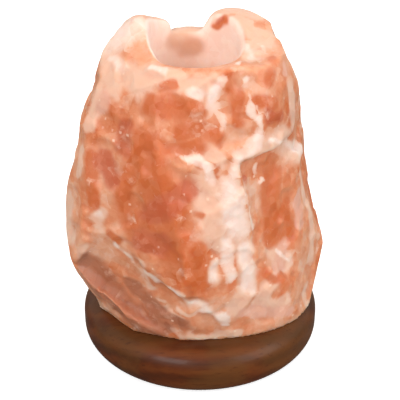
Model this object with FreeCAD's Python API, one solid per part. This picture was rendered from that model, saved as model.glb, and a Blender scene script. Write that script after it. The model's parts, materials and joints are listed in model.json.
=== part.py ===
"""A salt crystal lamp: a bored block of rock salt on a turned wooden base.

Millimetres, +Z up.  The origin is on the table, on the axis of the wooden base.  -Y is the front.

From below, the lamp is a wooden disc on four screwed rubber feet.  Three long wood screws go up through
the disc and hold the salt block on it.  The block has a blind bore from below for the bulb, and a round
well on top for a tealight or for scented oil.  A small Edison-screw lampholder is pushed up into the bore
and stays there by the two sprung wings of its steel clip.  The mains lead would leave through a bush at
the back of the disc.
"""

import FreeCAD
import Part
import math
import os

V = FreeCAD.Vector
ORIGIN = V(0, 0, 0)
UP = V(0, 0, 1)

# ---------------------------------------------------------------- driving dimensions, in millimetres

# Rubber feet and their screws
FOOT_HEIGHT = 3.0
FOOT_TOP_RADIUS = 6.5
FOOT_BOTTOM_RADIUS = 5.8
FOOT_EDGE_ROUND = 0.6
FOOT_CIRCLE_RADIUS = 45.0
FOOT_COUNT = 4
FOOT_FIRST_ANGLE = 45.0
FOOT_SCREW_RADIUS = 1.4
FOOT_SCREW_LENGTH = 11.0
FOOT_SCREW_HEAD_RADIUS = 2.8
FOOT_SCREW_HEAD_HEIGHT = 1.2
FOOT_SCREW_RECESS = 0.6

# Wooden base
BASE_RADIUS = 62.5
BASE_THICKNESS = 24.0
BASE_TOP_ROUND = 10.0
BASE_BOTTOM_ROUND = 8.5

# Bore for the bulb and its holder, the same through the wood and into the salt
BORE_RADIUS = 23.0
BORE_DEPTH = 101.0

# Screws that hold the salt on the base
SALT_SCREW_COUNT = 3
SALT_SCREW_FIRST_ANGLE = 30.0
SALT_SCREW_CIRCLE_RADIUS = 36.0
SALT_SCREW_RADIUS = 2.0
SALT_SCREW_LENGTH = 38.0
SALT_SCREW_HEAD_RADIUS = 4.0
SALT_SCREW_HEAD_HEIGHT = 2.4
SALT_SCREW_RECESS = 0.6

# Crossed slots of the wood screws, as shares of the head's radius
CROSS_SLOT_WIDTH = 0.3
CROSS_SLOT_REACH = 0.62

# Bush for the mains lead, at the back of the base
BUSH_BORE_RADIUS = 3.2
BUSH_WALL = 1.2
BUSH_SLEEVE_LENGTH = 10.0
BUSH_FLANGE_RADIUS = 6.8
BUSH_FLANGE_THICKNESS = 2.6
BUSH_SETBACK = 3.0

# Salt block and its well, with heights measured from the top of the wood
ROCK_WIDTH = 134.0
ROCK_DEPTH = 104.0
ROCK_HEIGHT = 139.0
WELL_RADIUS = 21.5
WELL_DEPTH = 25.0
WELL_X = -2.3
WELL_Y = -6.0

# Lampholder
HOLDER_LIFT = 15.0
HOLDER_RADIUS = 13.0
ENTRY_RADIUS = 3.6
ENTRY_WALL = 2.4
ENTRY_COLLAR_LENGTH = 6.0
CUP_HEIGHT = 22.0
CUP_WALL = 1.7
CUP_FLOOR = 2.0
SKIRT_LENGTH = 6.0
SKIRT_WALL = 1.7
SHELL_HEIGHT = 25.0
FLANGE_RISE = 8.0
FLANGE_WIDTH = 2.5
FLANGE_THICKNESS = 2.0
NUT_HEIGHT = 5.0
NUT_WALL = 3.2
NUT_GRIP_COUNT = 18
NUT_GRIP_RADIUS = 0.9
CUP_RIB_COUNT = 4
CUP_RIB_WIDTH = 1.6
CUP_RIB_DEPTH = 2.6

# Steel clip
CLIP_THICKNESS = 0.6
CLIP_WIDTH = 12.0
CLIP_RING_WIDTH = 3.6
CLIP_NOSE_RISE = 12.0
CLIP_TIP_RISE = 22.0
CLIP_TIP_INSET = 3.4

# Contacts and clamp, inside the holder
INSERT_HEIGHT = 11.0
CONTACT_OFFSET = 5.2
CONTACT_THICKNESS = 0.4
TONGUE_WIDTH = 3.4
SLEEVE_WALL = 0.5
SLEEVE_HEIGHT = 16.0
RIVET_RADIUS = 0.9
RIVET_HEAD_RADIUS = 1.5
RIVET_HEAD_HEIGHT = 0.5
TERMINAL_WIDTH = 4.2
TERMINAL_LENGTH = 7.0
TERMINAL_HEIGHT = 4.0
WIRE_HOLE_RADIUS = 1.1
TERMINAL_SCREW_RADIUS = 1.1
TERMINAL_SCREW_LENGTH = 2.6
TERMINAL_SCREW_SLOT_WIDTH = 0.44
GRIP_PILLAR_OFFSET = 6.6
GRIP_PILLAR_SIDE = 4.4
GRIP_PILLAR_HEIGHT = 6.4
GRIP_BAR_LENGTH = 18.4
GRIP_BAR_THICKNESS = 2.0
GRIP_BAR_HEIGHT = 4.6
GRIP_SCREW_RADIUS = 1.1
GRIP_SCREW_LENGTH = 5.0
GRIP_SCREW_HEAD_RADIUS = 2.0
GRIP_SCREW_HEAD_HEIGHT = 1.2
GRIP_SCREW_SLOT_WIDTH = 0.6

# Bulb.  The curves of its shoulder and of its stem's flare pass the given shares of their way out and up.
CAP_RADIUS = 6.9
CAP_WALL = 0.3
CAP_THREAD_LENGTH = 14.2
CAP_COLLAR_LENGTH = 4.0
THREAD_PITCH = 2.822
THREAD_DEPTH = 0.45
EYELET_RADIUS = 2.4
EYELET_HEIGHT = 1.6
INSULATOR_HEIGHT = 2.2
GLASS_RADIUS = 14.0
GLASS_LENGTH = 43.0
GLASS_NECK_RADIUS = 6.2
GLASS_NECK_LENGTH = 6.0
GLASS_WALL = 0.6
STEM_RADIUS = 2.2
STEM_LENGTH = 17.0
STEM_FLARE_HEIGHT = 5.0
STEM_FLARE_OUT = 0.3
STEM_FLARE_UP = 0.4
SHOULDER_OUT = 0.62
SHOULDER_UP = 0.36
LEAD_RADIUS = 0.35
SUPPORT_COUNT = 3
SUPPORT_RADIUS = 0.25
FILAMENT_RISE = 11.0
FILAMENT_RING_RADIUS = 6.5
FILAMENT_COIL_RADIUS = 0.35
FILAMENT_OPENING = 90.0

# Clearances
SLIDE_CLEARANCE = 0.3
THREAD_CLEARANCE = 0.35
SCREW_CLEARANCE = 0.1
SEAT_CLEARANCE = 0.15

# ---------------------------------------------------------------- places worked out from the sizes

WOOD_BOTTOM = FOOT_HEIGHT
WOOD_TOP = WOOD_BOTTOM + BASE_THICKNESS
BORE_TOP = WOOD_TOP + BORE_DEPTH
WELL_RIM = WOOD_TOP + ROCK_HEIGHT
WELL_FLOOR = WELL_RIM - WELL_DEPTH
BUSH_HEIGHT = WOOD_BOTTOM + (BASE_THICKNESS + BASE_BOTTOM_ROUND - BASE_TOP_ROUND) / 2
BUSH_SEAT = BASE_RADIUS - BUSH_SETBACK
BUSH_RADIUS = BUSH_BORE_RADIUS + BUSH_WALL
COLLAR_BOTTOM = WOOD_BOTTOM + HOLDER_LIFT
CUP_BOTTOM = COLLAR_BOTTOM + ENTRY_COLLAR_LENGTH
CUP_INSIDE = CUP_BOTTOM + CUP_FLOOR
CUP_TOP = CUP_BOTTOM + CUP_HEIGHT
CUP_BORE = HOLDER_RADIUS - CUP_WALL
SHELL_TOP = CUP_TOP + SHELL_HEIGHT
SKIRT_BOTTOM = CUP_TOP - SKIRT_LENGTH
SKIRT_RADIUS = CUP_BORE - SEAT_CLEARANCE
SKIRT_BORE = SKIRT_RADIUS - SKIRT_WALL
FLANGE_BOTTOM = CUP_TOP + FLANGE_RISE
FLANGE_RADIUS = HOLDER_RADIUS + FLANGE_WIDTH
CLIP_BOTTOM = FLANGE_BOTTOM + FLANGE_THICKNESS
CLIP_BORE = HOLDER_RADIUS + SEAT_CLEARANCE
CLIP_RING_RADIUS = CLIP_BORE + CLIP_RING_WIDTH
NUT_BOTTOM = CLIP_BOTTOM + CLIP_THICKNESS
INSERT_RADIUS = SKIRT_BORE - SEAT_CLEARANCE
INSERT_TOP = SKIRT_BOTTOM + INSERT_HEIGHT
SLEEVE_BORE = CAP_RADIUS + THREAD_CLEARANCE
SLEEVE_RADIUS = SLEEVE_BORE + SLEEVE_WALL
SHELL_BORE = SLEEVE_RADIUS + SLIDE_CLEARANCE
TONGUE_TOP = INSERT_TOP + RIVET_HEAD_HEIGHT + 2 * CONTACT_THICKNESS + SLIDE_CLEARANCE
EYELET_BOTTOM = TONGUE_TOP + SEAT_CLEARANCE
INSULATOR_BOTTOM = EYELET_BOTTOM + EYELET_HEIGHT
CAP_BOTTOM = INSULATOR_BOTTOM + INSULATOR_HEIGHT
CAP_TOP = CAP_BOTTOM + CAP_THREAD_LENGTH + CAP_COLLAR_LENGTH
CAP_BORE = CAP_RADIUS - THREAD_DEPTH - CAP_WALL
GLASS_BOTTOM = CAP_TOP - CAP_COLLAR_LENGTH
GLASS_TOP = GLASS_BOTTOM + GLASS_LENGTH
STEM_TOP = GLASS_BOTTOM + STEM_LENGTH
FILAMENT_HEIGHT = STEM_TOP + FILAMENT_RISE
FILAMENT_SEAT = FILAMENT_HEIGHT - FILAMENT_COIL_RADIUS - SEAT_CLEARANCE


# ---------------------------------------------------------------- helpers

class Profile:
    """An outline in the X-Z half plane, drawn from point to point and then turned about Z."""

    def __init__(self, radius, height):
        self.start = V(radius, 0, height)
        self.here = self.start
        self.edges = []

    def line(self, radius, height):
        """Draws a straight edge to a point."""
        there = V(radius, 0, height)
        self.edges.append(Part.LineSegment(self.here, there).toShape())
        self.here = there
        return self

    def arc(self, through, end):
        """Draws an arc through one point to another, each a radius and a height."""
        there = V(end[0], 0, end[1])
        self.edges.append(Part.Arc(self.here, V(through[0], 0, through[1]), there).toShape())
        self.here = there
        return self

    def corner(self, centre, radius, from_angle, to_angle):
        """Draws an arc about a centre from one angle to another, in degrees."""
        middle = math.radians((from_angle + to_angle) / 2)
        last = math.radians(to_angle)
        through = (centre[0] + radius * math.cos(middle), centre[1] + radius * math.sin(middle))
        return self.arc(through, (centre[0] + radius * math.cos(last), centre[1] + radius * math.sin(last)))

    def turned(self):
        """Closes the outline and turns it into a solid."""
        self.edges.append(Part.LineSegment(self.here, self.start).toShape())
        return Part.Face(Part.Wire(self.edges)).revolve(ORIGIN, UP, 360)


def rod(radius, low, high, x=0.0, y=0.0):
    """An upright cylinder."""
    return Part.makeCylinder(radius, high - low, V(x, y, low), UP)


def cone(low_radius, high_radius, low, high):
    """An upright cone about Z."""
    return Part.makeCone(low_radius, high_radius, high - low, V(0, 0, low), UP)


def tube(outer, inner, low, high):
    """An upright tube about Z."""
    return rod(outer, low, high).cut(rod(inner, low, high))


def bar(start, end, radius):
    """A round bar between two points."""
    along = end.sub(start)
    return Part.makeCylinder(radius, along.Length, start, along)


def block(low, high):
    """A box between two corners."""
    return Part.makeBox(high[0] - low[0], high[1] - low[1], high[2] - low[2], V(*low))


def on_circle(radius, degrees, height=0.0):
    """The point of a level circle about Z at an angle."""
    angle = math.radians(degrees)
    return V(radius * math.cos(angle), radius * math.sin(angle), height)


def moved(shape, place):
    """A copy of a shape, shifted."""
    copy = shape.copy()
    copy.translate(place)
    return copy


def around(shape, count, first_angle=0.0):
    """Copies of a shape, evenly spaced round Z."""
    copies = []
    for k in range(count):
        copy = shape.copy()
        copy.rotate(ORIGIN, UP, first_angle + 360.0 * k / count)
        copies.append(copy)
    return copies


def mirrored(shape):
    """A shape and its copy on the other side of the Y-Z plane."""
    return [shape, shape.mirror(ORIGIN, V(1, 0, 0))]


def bent_strip(points, thickness, width):
    """A strip of sheet metal along points in the X-Z plane, centred on that plane.

    The points follow the strip's right-hand face, seen from -Y.
    """
    far_side = []
    for k, point in enumerate(points):
        before = points[max(k - 1, 0)]
        after = points[min(k + 1, len(points) - 1)]
        first = V(point[0] - before[0], 0, point[1] - before[1])
        second = V(after[0] - point[0], 0, after[1] - point[1])
        first = first.normalize() if first.Length > 0 else second.normalize()
        second = second.normalize() if second.Length > 0 else first
        bisector = first.add(second).normalize()
        reach = thickness / bisector.dot(first)
        far_side.append(V(point[0] - bisector.z * reach, -width / 2, point[1] + bisector.x * reach))
    near_side = [V(point[0], -width / 2, point[1]) for point in points]
    outline = near_side + far_side[::-1]
    return Part.Face(Part.makePolygon(outline + outline[:1])).extrude(V(0, width, 0))


def cross_slot(radius, low, depth):
    """The crossed slots of a screw head, a cutter that rises from a height."""
    half = CROSS_SLOT_WIDTH * radius / 2
    reach = CROSS_SLOT_REACH * radius
    long_way = block((-reach, -half, low), (reach, half, low + depth))
    return long_way.fuse(block((-half, -reach, low), (half, reach, low + depth)))


def save(name, shapes):
    """Writes one node from one solid or from a list of separate ones."""
    shape = Part.makeCompound(shapes) if isinstance(shapes, list) else shapes
    shape.exportStep(os.path.join("parts", name + ".step"))


# ---------------------------------------------------------------- salt block

# Outlines from the wood to the rim: height as a share of the rock's height, then the reach to the left,
# right, front and back as shares of half the width or depth, then how far the outline turns back
# from left to right.
ROCK_OUTLINES = [
    (0.00, 0.80, 0.90, 0.92, 0.88, 0.06),
    (0.10, 0.86, 0.95, 1.00, 0.95, 0.15),
    (0.20, 0.94, 1.01, 1.05, 1.00, 0.25),
    (0.30, 0.98, 0.94, 1.08, 1.00, 0.33),
    (0.41, 1.03, 0.87, 1.06, 0.98, 0.36),
    (0.52, 0.98, 0.81, 1.03, 0.95, 0.33),
    (0.62, 0.91, 0.79, 0.99, 0.88, 0.25),
    (0.75, 0.87, 0.75, 0.92, 0.80, 0.18),
    (0.87, 0.77, 0.72, 0.84, 0.66, 0.12),
    (1.00, 0.69, 0.63, 0.69, 0.50, 0.05),
]
ROCK_OUTLINE_POINTS = 16
ROCK_SQUARENESS = 2.5

# The two lumps beside the well: height as a share of the rock's height, then the centre and the two
# half widths as shares of half the rock's width or depth.
LEFT_LUMP = [
    (0.90, -0.43, -0.04, 0.23, 0.38),
    (1.00, -0.43, -0.04, 0.25, 0.42),
    (1.04, -0.39, 0.04, 0.23, 0.33),
    (1.08, -0.42, -0.02, 0.10, 0.17),
    (1.10, -0.41, -0.02, 0.05, 0.08),
]
RIGHT_LUMP = [
    (0.90, 0.31, 0.08, 0.31, 0.38),
    (1.00, 0.30, 0.08, 0.33, 0.42),
    (1.03, 0.31, 0.20, 0.29, 0.32),
    (1.06, 0.27, 0.26, 0.20, 0.22),
    (1.08, 0.24, 0.27, 0.10, 0.10),
]

# Broken faces: the way each faces round Z (0 is right, -90 is the front) and up, in degrees, then the
# height and the reach of a point on it, as shares.
ROCK_FACETS = [
    (-38, 4, 0.38, 0.90),
    (-30, 6, 0.86, 0.74),
    (-76, 13, 0.86, 0.77),
    (-112, 2, 0.42, 1.05),
    (-152, 9, 0.70, 0.985),
    (-128, 38, 0.97, 0.70),
    (-142, -20, 0.14, 1.06),
    (-108, -28, 0.09, 1.04),
    (-60, -16, 0.10, 1.03),
    (28, -6, 0.30, 1.01),
    (62, 5, 0.45, 0.99),
    (100, 12, 0.62, 0.88),
    (140, 4, 0.40, 0.98),
    (178, 12, 0.72, 0.90),
    (-124, 16, 0.68, 0.985),
    (5, 24, 0.93, 0.645),
    (8, 10, 0.30, 0.945),
    (48, 26, 0.88, 0.745),
    (50, 14, 0.66, 0.905),
    (84, -18, 0.12, 0.97),
    (98, 2, 0.30, 0.935),
    (122, 8, 0.62, 0.785),
    (124, 22, 0.88, 0.615),
    (132, 4, 0.24, 0.87),
    (154, 20, 0.84, 0.725),
    (162, -14, 0.10, 0.835),
    (172, -6, 0.32, 0.94),
]

# Broken steps, each set back from the rock beside it: where round Z its edge lies and which way its
# floor faces, round Z and up, in degrees; how far the edge leans from upright; the height and the reach
# of the edge's middle, its length and the step's width, as shares of the rock's height and width.
ROCK_STEPS = [
    (-60, -46, 11, 6, 0.44, 0.888, 0.50, 0.30),
    (-115, -115, -10, -125, 0.295, 1.018, 0.45, 0.22),
    (-59, -74, 13, 180, 0.86, 0.741, 0.22, 0.34),
]

# The ledge on the right, under which the rock swells: its height and the reach of its inner edge
LEDGE_HEIGHT = 0.63
LEDGE_REACH = 0.72
LEDGE_ANGLE = -12
LEDGE_SLOPE = 14


def rock_point(level_height, reach, degrees):
    """A point at an angle round the rock, at a share of its height and of its reach there."""
    angle = math.radians(degrees)
    full = 1 / math.hypot(math.cos(angle) / (ROCK_WIDTH / 2), math.sin(angle) / (ROCK_DEPTH / 2))
    return on_circle(reach * full, degrees, WOOD_TOP + level_height * ROCK_HEIGHT)


def rounded_square(degrees):
    """The X and Y of a rounded square of half side 1, at an angle."""
    angle = math.radians(degrees)
    power = 2 / ROCK_SQUARENESS
    x = math.copysign(abs(math.cos(angle)) ** power, math.cos(angle))
    y = math.copysign(abs(math.sin(angle)) ** power, math.sin(angle))
    return x, y


def closed_curve(points):
    """A smooth closed wire through points."""
    curve = Part.BSplineCurve()
    curve.interpolate(Points=points, PeriodicFlag=True)
    return Part.Wire(curve.toShape())


def rock_outline(outline):
    """One level outline of the rock: a rounded square whose four reaches differ."""
    height, left, right, front, back, turn = outline
    points = []
    for k in range(ROCK_OUTLINE_POINTS):
        x, y = rounded_square(360 * k / ROCK_OUTLINE_POINTS)
        x *= ROCK_WIDTH / 2 * (right if x > 0 else left)
        y *= ROCK_DEPTH / 2 * (back if y > 0 else front)
        points.append(V(x, y + turn * x, WOOD_TOP + height * ROCK_HEIGHT))
    return closed_curve(points)


def lump(outlines):
    """A lump on top of the rock, lofted through ovals."""
    wires = []
    for height, x, y, half_width, half_depth in outlines:
        points = []
        for k in range(ROCK_OUTLINE_POINTS):
            across, along = rounded_square(360 * k / ROCK_OUTLINE_POINTS)
            points.append(V((x + half_width * across) * ROCK_WIDTH / 2,
                            (y + half_depth * along) * ROCK_DEPTH / 2,
                            WOOD_TOP + height * ROCK_HEIGHT))
        wires.append(closed_curve(points))
    return Part.makeLoft(wires, True, False)


def outside(point, degrees, upward):
    """A cutter for what lies beyond a plane through a point, facing an angle round Z and upward."""
    size = 2 * (ROCK_WIDTH + ROCK_DEPTH + ROCK_HEIGHT)
    cutter = Part.makeBox(size, size, size, V(0, -size / 2, -size / 2))
    cutter.rotate(ORIGIN, V(0, 1, 0), -upward)
    cutter.rotate(ORIGIN, UP, degrees)
    cutter.translate(point)
    return cutter


def broken_step(place, turn, upward, lean, height, reach, length, width):
    """The cutter of a step: all beyond its floor, from its edge to its width."""
    deep = ROCK_WIDTH
    long = length * ROCK_HEIGHT
    cutter = Part.makeBox(deep, width * ROCK_WIDTH, long, V(0, 0, -long / 2))
    cutter.rotate(ORIGIN, V(1, 0, 0), lean)
    cutter.rotate(ORIGIN, V(0, 1, 0), -upward)
    cutter.rotate(ORIGIN, UP, turn)
    cutter.translate(rock_point(height, reach, place))
    return cutter


def ledge():
    """The cutter that leaves the up-facing ledge on the right."""
    edge = rock_point(LEDGE_HEIGHT, LEDGE_REACH, LEDGE_ANGLE)
    beyond = outside(edge, LEDGE_ANGLE, 0)
    above = outside(edge, LEDGE_ANGLE, 90 - LEDGE_SLOPE)
    return beyond.common(above)


def salt_block():
    """The salt: a faceted rock with two lumps on top, the well, the bulb's bore and the screw holes."""
    rock = Part.makeLoft([rock_outline(outline) for outline in ROCK_OUTLINES], True, True)
    rock = rock.fuse([lump(LEFT_LUMP), lump(RIGHT_LUMP)])
    facets = [outside(rock_point(height, reach, turn), turn, up) for turn, up, height, reach in ROCK_FACETS]
    steps = [broken_step(*step) for step in ROCK_STEPS]
    rock = rock.cut(facets + steps + [ledge()])
    well_room = 2 * ROCK_HEIGHT
    well = rod(WELL_RADIUS, WELL_FLOOR, WELL_FLOOR + well_room, WELL_X, WELL_Y)
    bore = rod(BORE_RADIUS, WOOD_TOP, BORE_TOP)
    return rock.cut([well, bore] + salt_screws(SCREW_CLEARANCE)).removeSplitter()


# ---------------------------------------------------------------- wooden base, feet and screws

def salt_screw(clearance=0.0):
    """One countersunk wood screw, or the hole for it where a clearance is given."""
    shank = SALT_SCREW_RADIUS + clearance
    head = SALT_SCREW_HEAD_RADIUS + clearance
    low = WOOD_BOTTOM + (0 if clearance else SALT_SCREW_RECESS)
    neck = WOOD_BOTTOM + SALT_SCREW_RECESS + SALT_SCREW_HEAD_HEIGHT
    tip = WOOD_BOTTOM + SALT_SCREW_LENGTH
    point = SALT_SCREW_RADIUS * 2
    outline = Profile(0, low).line(head, low)
    if clearance:
        outline.line(head, WOOD_BOTTOM + SALT_SCREW_RECESS)
    outline.line(shank, neck).line(shank, tip - point)
    outline.line(clearance, tip + clearance)
    outline.line(0, tip + clearance) if clearance else outline
    screw = outline.turned()
    if not clearance:
        screw = screw.cut(cross_slot(head, low, SALT_SCREW_HEAD_HEIGHT / 2))
    return moved(screw, V(SALT_SCREW_CIRCLE_RADIUS, 0, 0))


def salt_screws(clearance=0.0):
    """The screws that hold the salt, or their holes."""
    return around(salt_screw(clearance), SALT_SCREW_COUNT, SALT_SCREW_FIRST_ANGLE)


def foot_screw(clearance=0.0):
    """One round-headed foot screw, or the hole for it where a clearance is given."""
    shank = FOOT_SCREW_RADIUS + clearance
    head = FOOT_SCREW_HEAD_RADIUS + clearance
    low = 0 if clearance else FOOT_SCREW_RECESS
    seat = FOOT_SCREW_RECESS + FOOT_SCREW_HEAD_HEIGHT
    tip = FOOT_SCREW_RECESS + FOOT_SCREW_LENGTH + clearance
    screw = rod(head, low, seat).fuse(rod(shank, seat, tip))
    if not clearance:
        screw = screw.cut(cross_slot(head, low, FOOT_SCREW_HEAD_HEIGHT / 2))
    return moved(screw, V(FOOT_CIRCLE_RADIUS, 0, 0))


def foot_screws(clearance=0.0):
    """The screws of the feet, or their holes."""
    return around(foot_screw(clearance), FOOT_COUNT, FOOT_FIRST_ANGLE)


def wood_base():
    """The turned disc, with its bore, the screw holes and the way for the bush."""
    low_centre = (BASE_RADIUS - BASE_BOTTOM_ROUND, WOOD_BOTTOM + BASE_BOTTOM_ROUND)
    high_centre = (BASE_RADIUS - BASE_TOP_ROUND, WOOD_TOP - BASE_TOP_ROUND)
    outline = Profile(BORE_RADIUS, WOOD_BOTTOM).line(low_centre[0], WOOD_BOTTOM)
    outline.corner(low_centre, BASE_BOTTOM_ROUND, -90, 0)
    outline.line(BASE_RADIUS, high_centre[1])
    outline.corner(high_centre, BASE_TOP_ROUND, 0, 90)
    outline.line(BORE_RADIUS, WOOD_TOP)
    start = V(0, 0, BUSH_HEIGHT)
    way = bar(start, start.add(V(0, BASE_RADIUS, 0)), BUSH_RADIUS + SCREW_CLEARANCE)
    seat = bar(start.add(V(0, BUSH_SEAT, 0)), start.add(V(0, 2 * BASE_RADIUS, 0)),
               BUSH_FLANGE_RADIUS + SCREW_CLEARANCE)
    return outline.turned().cut([way, seat] + salt_screws(SCREW_CLEARANCE) + foot_screws(SCREW_CLEARANCE))


def cord_bush():
    """The bush that the mains lead passes through, its flange against the seat at the back."""
    face = V(0, BUSH_SEAT, BUSH_HEIGHT)
    end = face.sub(V(0, BUSH_SLEEVE_LENGTH, 0))
    outer = face.add(V(0, BUSH_FLANGE_THICKNESS, 0))
    bush = bar(end, face, BUSH_RADIUS).fuse(bar(face, outer, BUSH_FLANGE_RADIUS))
    bush = bush.cut(bar(end, outer, BUSH_BORE_RADIUS))
    rims = [edge for edge in bush.Edges if abs(edge.BoundBox.YMin - outer.y) < SCREW_CLEARANCE]
    return bush.makeFillet(BUSH_FLANGE_THICKNESS / 4, rims)


def rubber_foot():
    """One rubber foot, with a counterbored hole for its screw."""
    outline = Profile(0, 0).line(FOOT_BOTTOM_RADIUS - FOOT_EDGE_ROUND, 0)
    outline.line(FOOT_BOTTOM_RADIUS, FOOT_EDGE_ROUND).line(FOOT_TOP_RADIUS, FOOT_HEIGHT).line(0, FOOT_HEIGHT)
    return moved(outline.turned(), V(FOOT_CIRCLE_RADIUS, 0, 0)).cut(foot_screw(SCREW_CLEARANCE))


# ---------------------------------------------------------------- lampholder

def holder_cup():
    """The lower half of the holder: a cup with the lead's collar below, and the clamp's pillars inside."""
    collar = rod(ENTRY_RADIUS + ENTRY_WALL, COLLAR_BOTTOM, CUP_BOTTOM)
    hollows = [rod(CUP_BORE, CUP_INSIDE, CUP_TOP), rod(ENTRY_RADIUS, COLLAR_BOTTOM, CUP_INSIDE)]
    cup = rod(HOLDER_RADIUS, CUP_BOTTOM, CUP_TOP).fuse(collar).cut(hollows)
    half = GRIP_PILLAR_SIDE / 2
    pillar = block((GRIP_PILLAR_OFFSET - half, -half, CUP_INSIDE),
                   (GRIP_PILLAR_OFFSET + half, half, CUP_INSIDE + GRIP_PILLAR_HEIGHT))
    rib = block((CUP_BORE - CUP_RIB_DEPTH, -CUP_RIB_WIDTH / 2, CUP_INSIDE),
                (CUP_BORE + CUP_WALL / 2, CUP_RIB_WIDTH / 2, SKIRT_BOTTOM))
    ribs = around(rib, CUP_RIB_COUNT, 180 / CUP_RIB_COUNT)
    return cup.fuse(mirrored(pillar) + ribs).cut(grip_screws(SCREW_CLEARANCE)).removeSplitter()


def grip_screws(clearance=0.0):
    """The two screws of the lead's clamp, or their holes."""
    half = GRIP_PILLAR_SIDE / 2
    height = CUP_INSIDE + GRIP_PILLAR_HEIGHT / 2
    head_seat = V(GRIP_PILLAR_OFFSET, half + GRIP_BAR_THICKNESS, height)
    tip = head_seat.sub(V(0, GRIP_SCREW_LENGTH + clearance, 0))
    shank = bar(tip, head_seat, GRIP_SCREW_RADIUS + clearance)
    if clearance:
        return mirrored(shank)
    head = bar(head_seat, head_seat.add(V(0, GRIP_SCREW_HEAD_HEIGHT, 0)), GRIP_SCREW_HEAD_RADIUS)
    slot_half = V(GRIP_SCREW_HEAD_RADIUS, 0, GRIP_SCREW_SLOT_WIDTH / 2)
    corner = head_seat.add(V(0, GRIP_SCREW_HEAD_HEIGHT / 2, 0))
    slot = block(corner.sub(slot_half), corner.add(slot_half).add(V(0, GRIP_SCREW_HEAD_HEIGHT, 0)))
    return mirrored(shank.fuse(head).cut(slot))


def cord_grip():
    """The bar that clamps the lead, across the faces of the two pillars."""
    face = GRIP_PILLAR_SIDE / 2
    middle = CUP_INSIDE + GRIP_PILLAR_HEIGHT / 2
    grip = block((-GRIP_BAR_LENGTH / 2, face, middle - GRIP_BAR_HEIGHT / 2),
                 (GRIP_BAR_LENGTH / 2, face + GRIP_BAR_THICKNESS, middle + GRIP_BAR_HEIGHT / 2))
    return grip.cut(grip_screws(SCREW_CLEARANCE))


def shell_threads(radius, low, high):
    """Rings that cut the thread of the shell and the nut, between two heights."""
    rings = []
    for k in range(int((high - low) / THREAD_PITCH)):
        rings.append(Part.makeTorus(radius, THREAD_DEPTH, V(0, 0, low + (k + 0.5) * THREAD_PITCH), UP))
    return rings


def holder_shell():
    """The upper half of the holder, whose skirt goes down into the cup and clamps the contact plate."""
    outline = Profile(SHELL_BORE, SHELL_TOP).line(SHELL_BORE, INSERT_TOP)
    outline.line(SKIRT_BORE, INSERT_TOP).line(SKIRT_BORE, SKIRT_BOTTOM)
    outline.line(SKIRT_RADIUS, SKIRT_BOTTOM).line(SKIRT_RADIUS, CUP_TOP)
    outline.line(HOLDER_RADIUS, CUP_TOP).line(HOLDER_RADIUS, FLANGE_BOTTOM)
    outline.line(FLANGE_RADIUS, FLANGE_BOTTOM).line(FLANGE_RADIUS, CLIP_BOTTOM)
    outline.line(HOLDER_RADIUS, CLIP_BOTTOM).line(HOLDER_RADIUS, SHELL_TOP - CUP_WALL / 2)
    outline.line(HOLDER_RADIUS - CUP_WALL / 2, SHELL_TOP)
    threads = shell_threads(HOLDER_RADIUS, NUT_BOTTOM, SHELL_TOP - CUP_WALL)
    return outline.turned().cut(threads)


def clip_nut():
    """The plastic nut above the clip, with finger grips round it."""
    outer = CLIP_BORE + NUT_WALL
    top = NUT_BOTTOM + NUT_HEIGHT
    nut = tube(outer, CLIP_BORE, NUT_BOTTOM, top)
    groove = rod(NUT_GRIP_RADIUS, NUT_BOTTOM, top, outer + NUT_GRIP_RADIUS / 3)
    return nut.cut(around(groove, NUT_GRIP_COUNT))


def spring_clip():
    """The steel clip: a washer with two wings that bend out to the bore and in again."""
    plate = tube(CLIP_RING_RADIUS, CLIP_BORE, CLIP_BOTTOM, CLIP_BOTTOM + CLIP_THICKNESS)
    nose = math.sqrt((BORE_RADIUS - SLIDE_CLEARANCE) ** 2 - (CLIP_WIDTH / 2) ** 2)
    points = [(CLIP_BORE + CLIP_THICKNESS, CLIP_BOTTOM), (CLIP_RING_RADIUS, CLIP_BOTTOM),
              (nose, CLIP_BOTTOM + CLIP_NOSE_RISE), (nose - CLIP_TIP_INSET, CLIP_BOTTOM + CLIP_TIP_RISE)]
    wing = bent_strip(points, CLIP_THICKNESS, CLIP_WIDTH).cut(rod(CLIP_BORE, CLIP_BOTTOM, NUT_BOTTOM))
    return plate.fuse(mirrored(wing)).removeSplitter()


def contact_insert():
    """The plate that carries the contacts."""
    plate = rod(INSERT_RADIUS, SKIRT_BOTTOM, INSERT_TOP)
    hole = rod(RIVET_RADIUS + SCREW_CLEARANCE, SKIRT_BOTTOM, INSERT_TOP, CONTACT_OFFSET)
    return plate.cut(mirrored(hole))


def screw_shell():
    """The threaded brass sleeve that takes the bulb's cap, with the tab that is riveted down."""
    top = INSERT_TOP + SLEEVE_HEIGHT
    sleeve = tube(SLEEVE_RADIUS, SLEEVE_BORE, INSERT_TOP, top)
    tab = block((CONTACT_OFFSET - RIVET_HEAD_RADIUS, -TONGUE_WIDTH / 2, INSERT_TOP),
                (SLEEVE_BORE + SLEEVE_WALL / 2, TONGUE_WIDTH / 2, INSERT_TOP + CONTACT_THICKNESS))
    hole = rod(RIVET_RADIUS + SCREW_CLEARANCE, INSERT_TOP, top, CONTACT_OFFSET)
    rings = []
    for k in range(int((SLEEVE_HEIGHT - THREAD_PITCH) / THREAD_PITCH)):
        height = INSERT_TOP + (k + 1.5) * THREAD_PITCH
        rings.append(Part.makeTorus(SLEEVE_RADIUS, SLEEVE_WALL / 2, V(0, 0, height), UP))
    return sleeve.cut(rings).fuse(tab).cut(hole)


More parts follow.
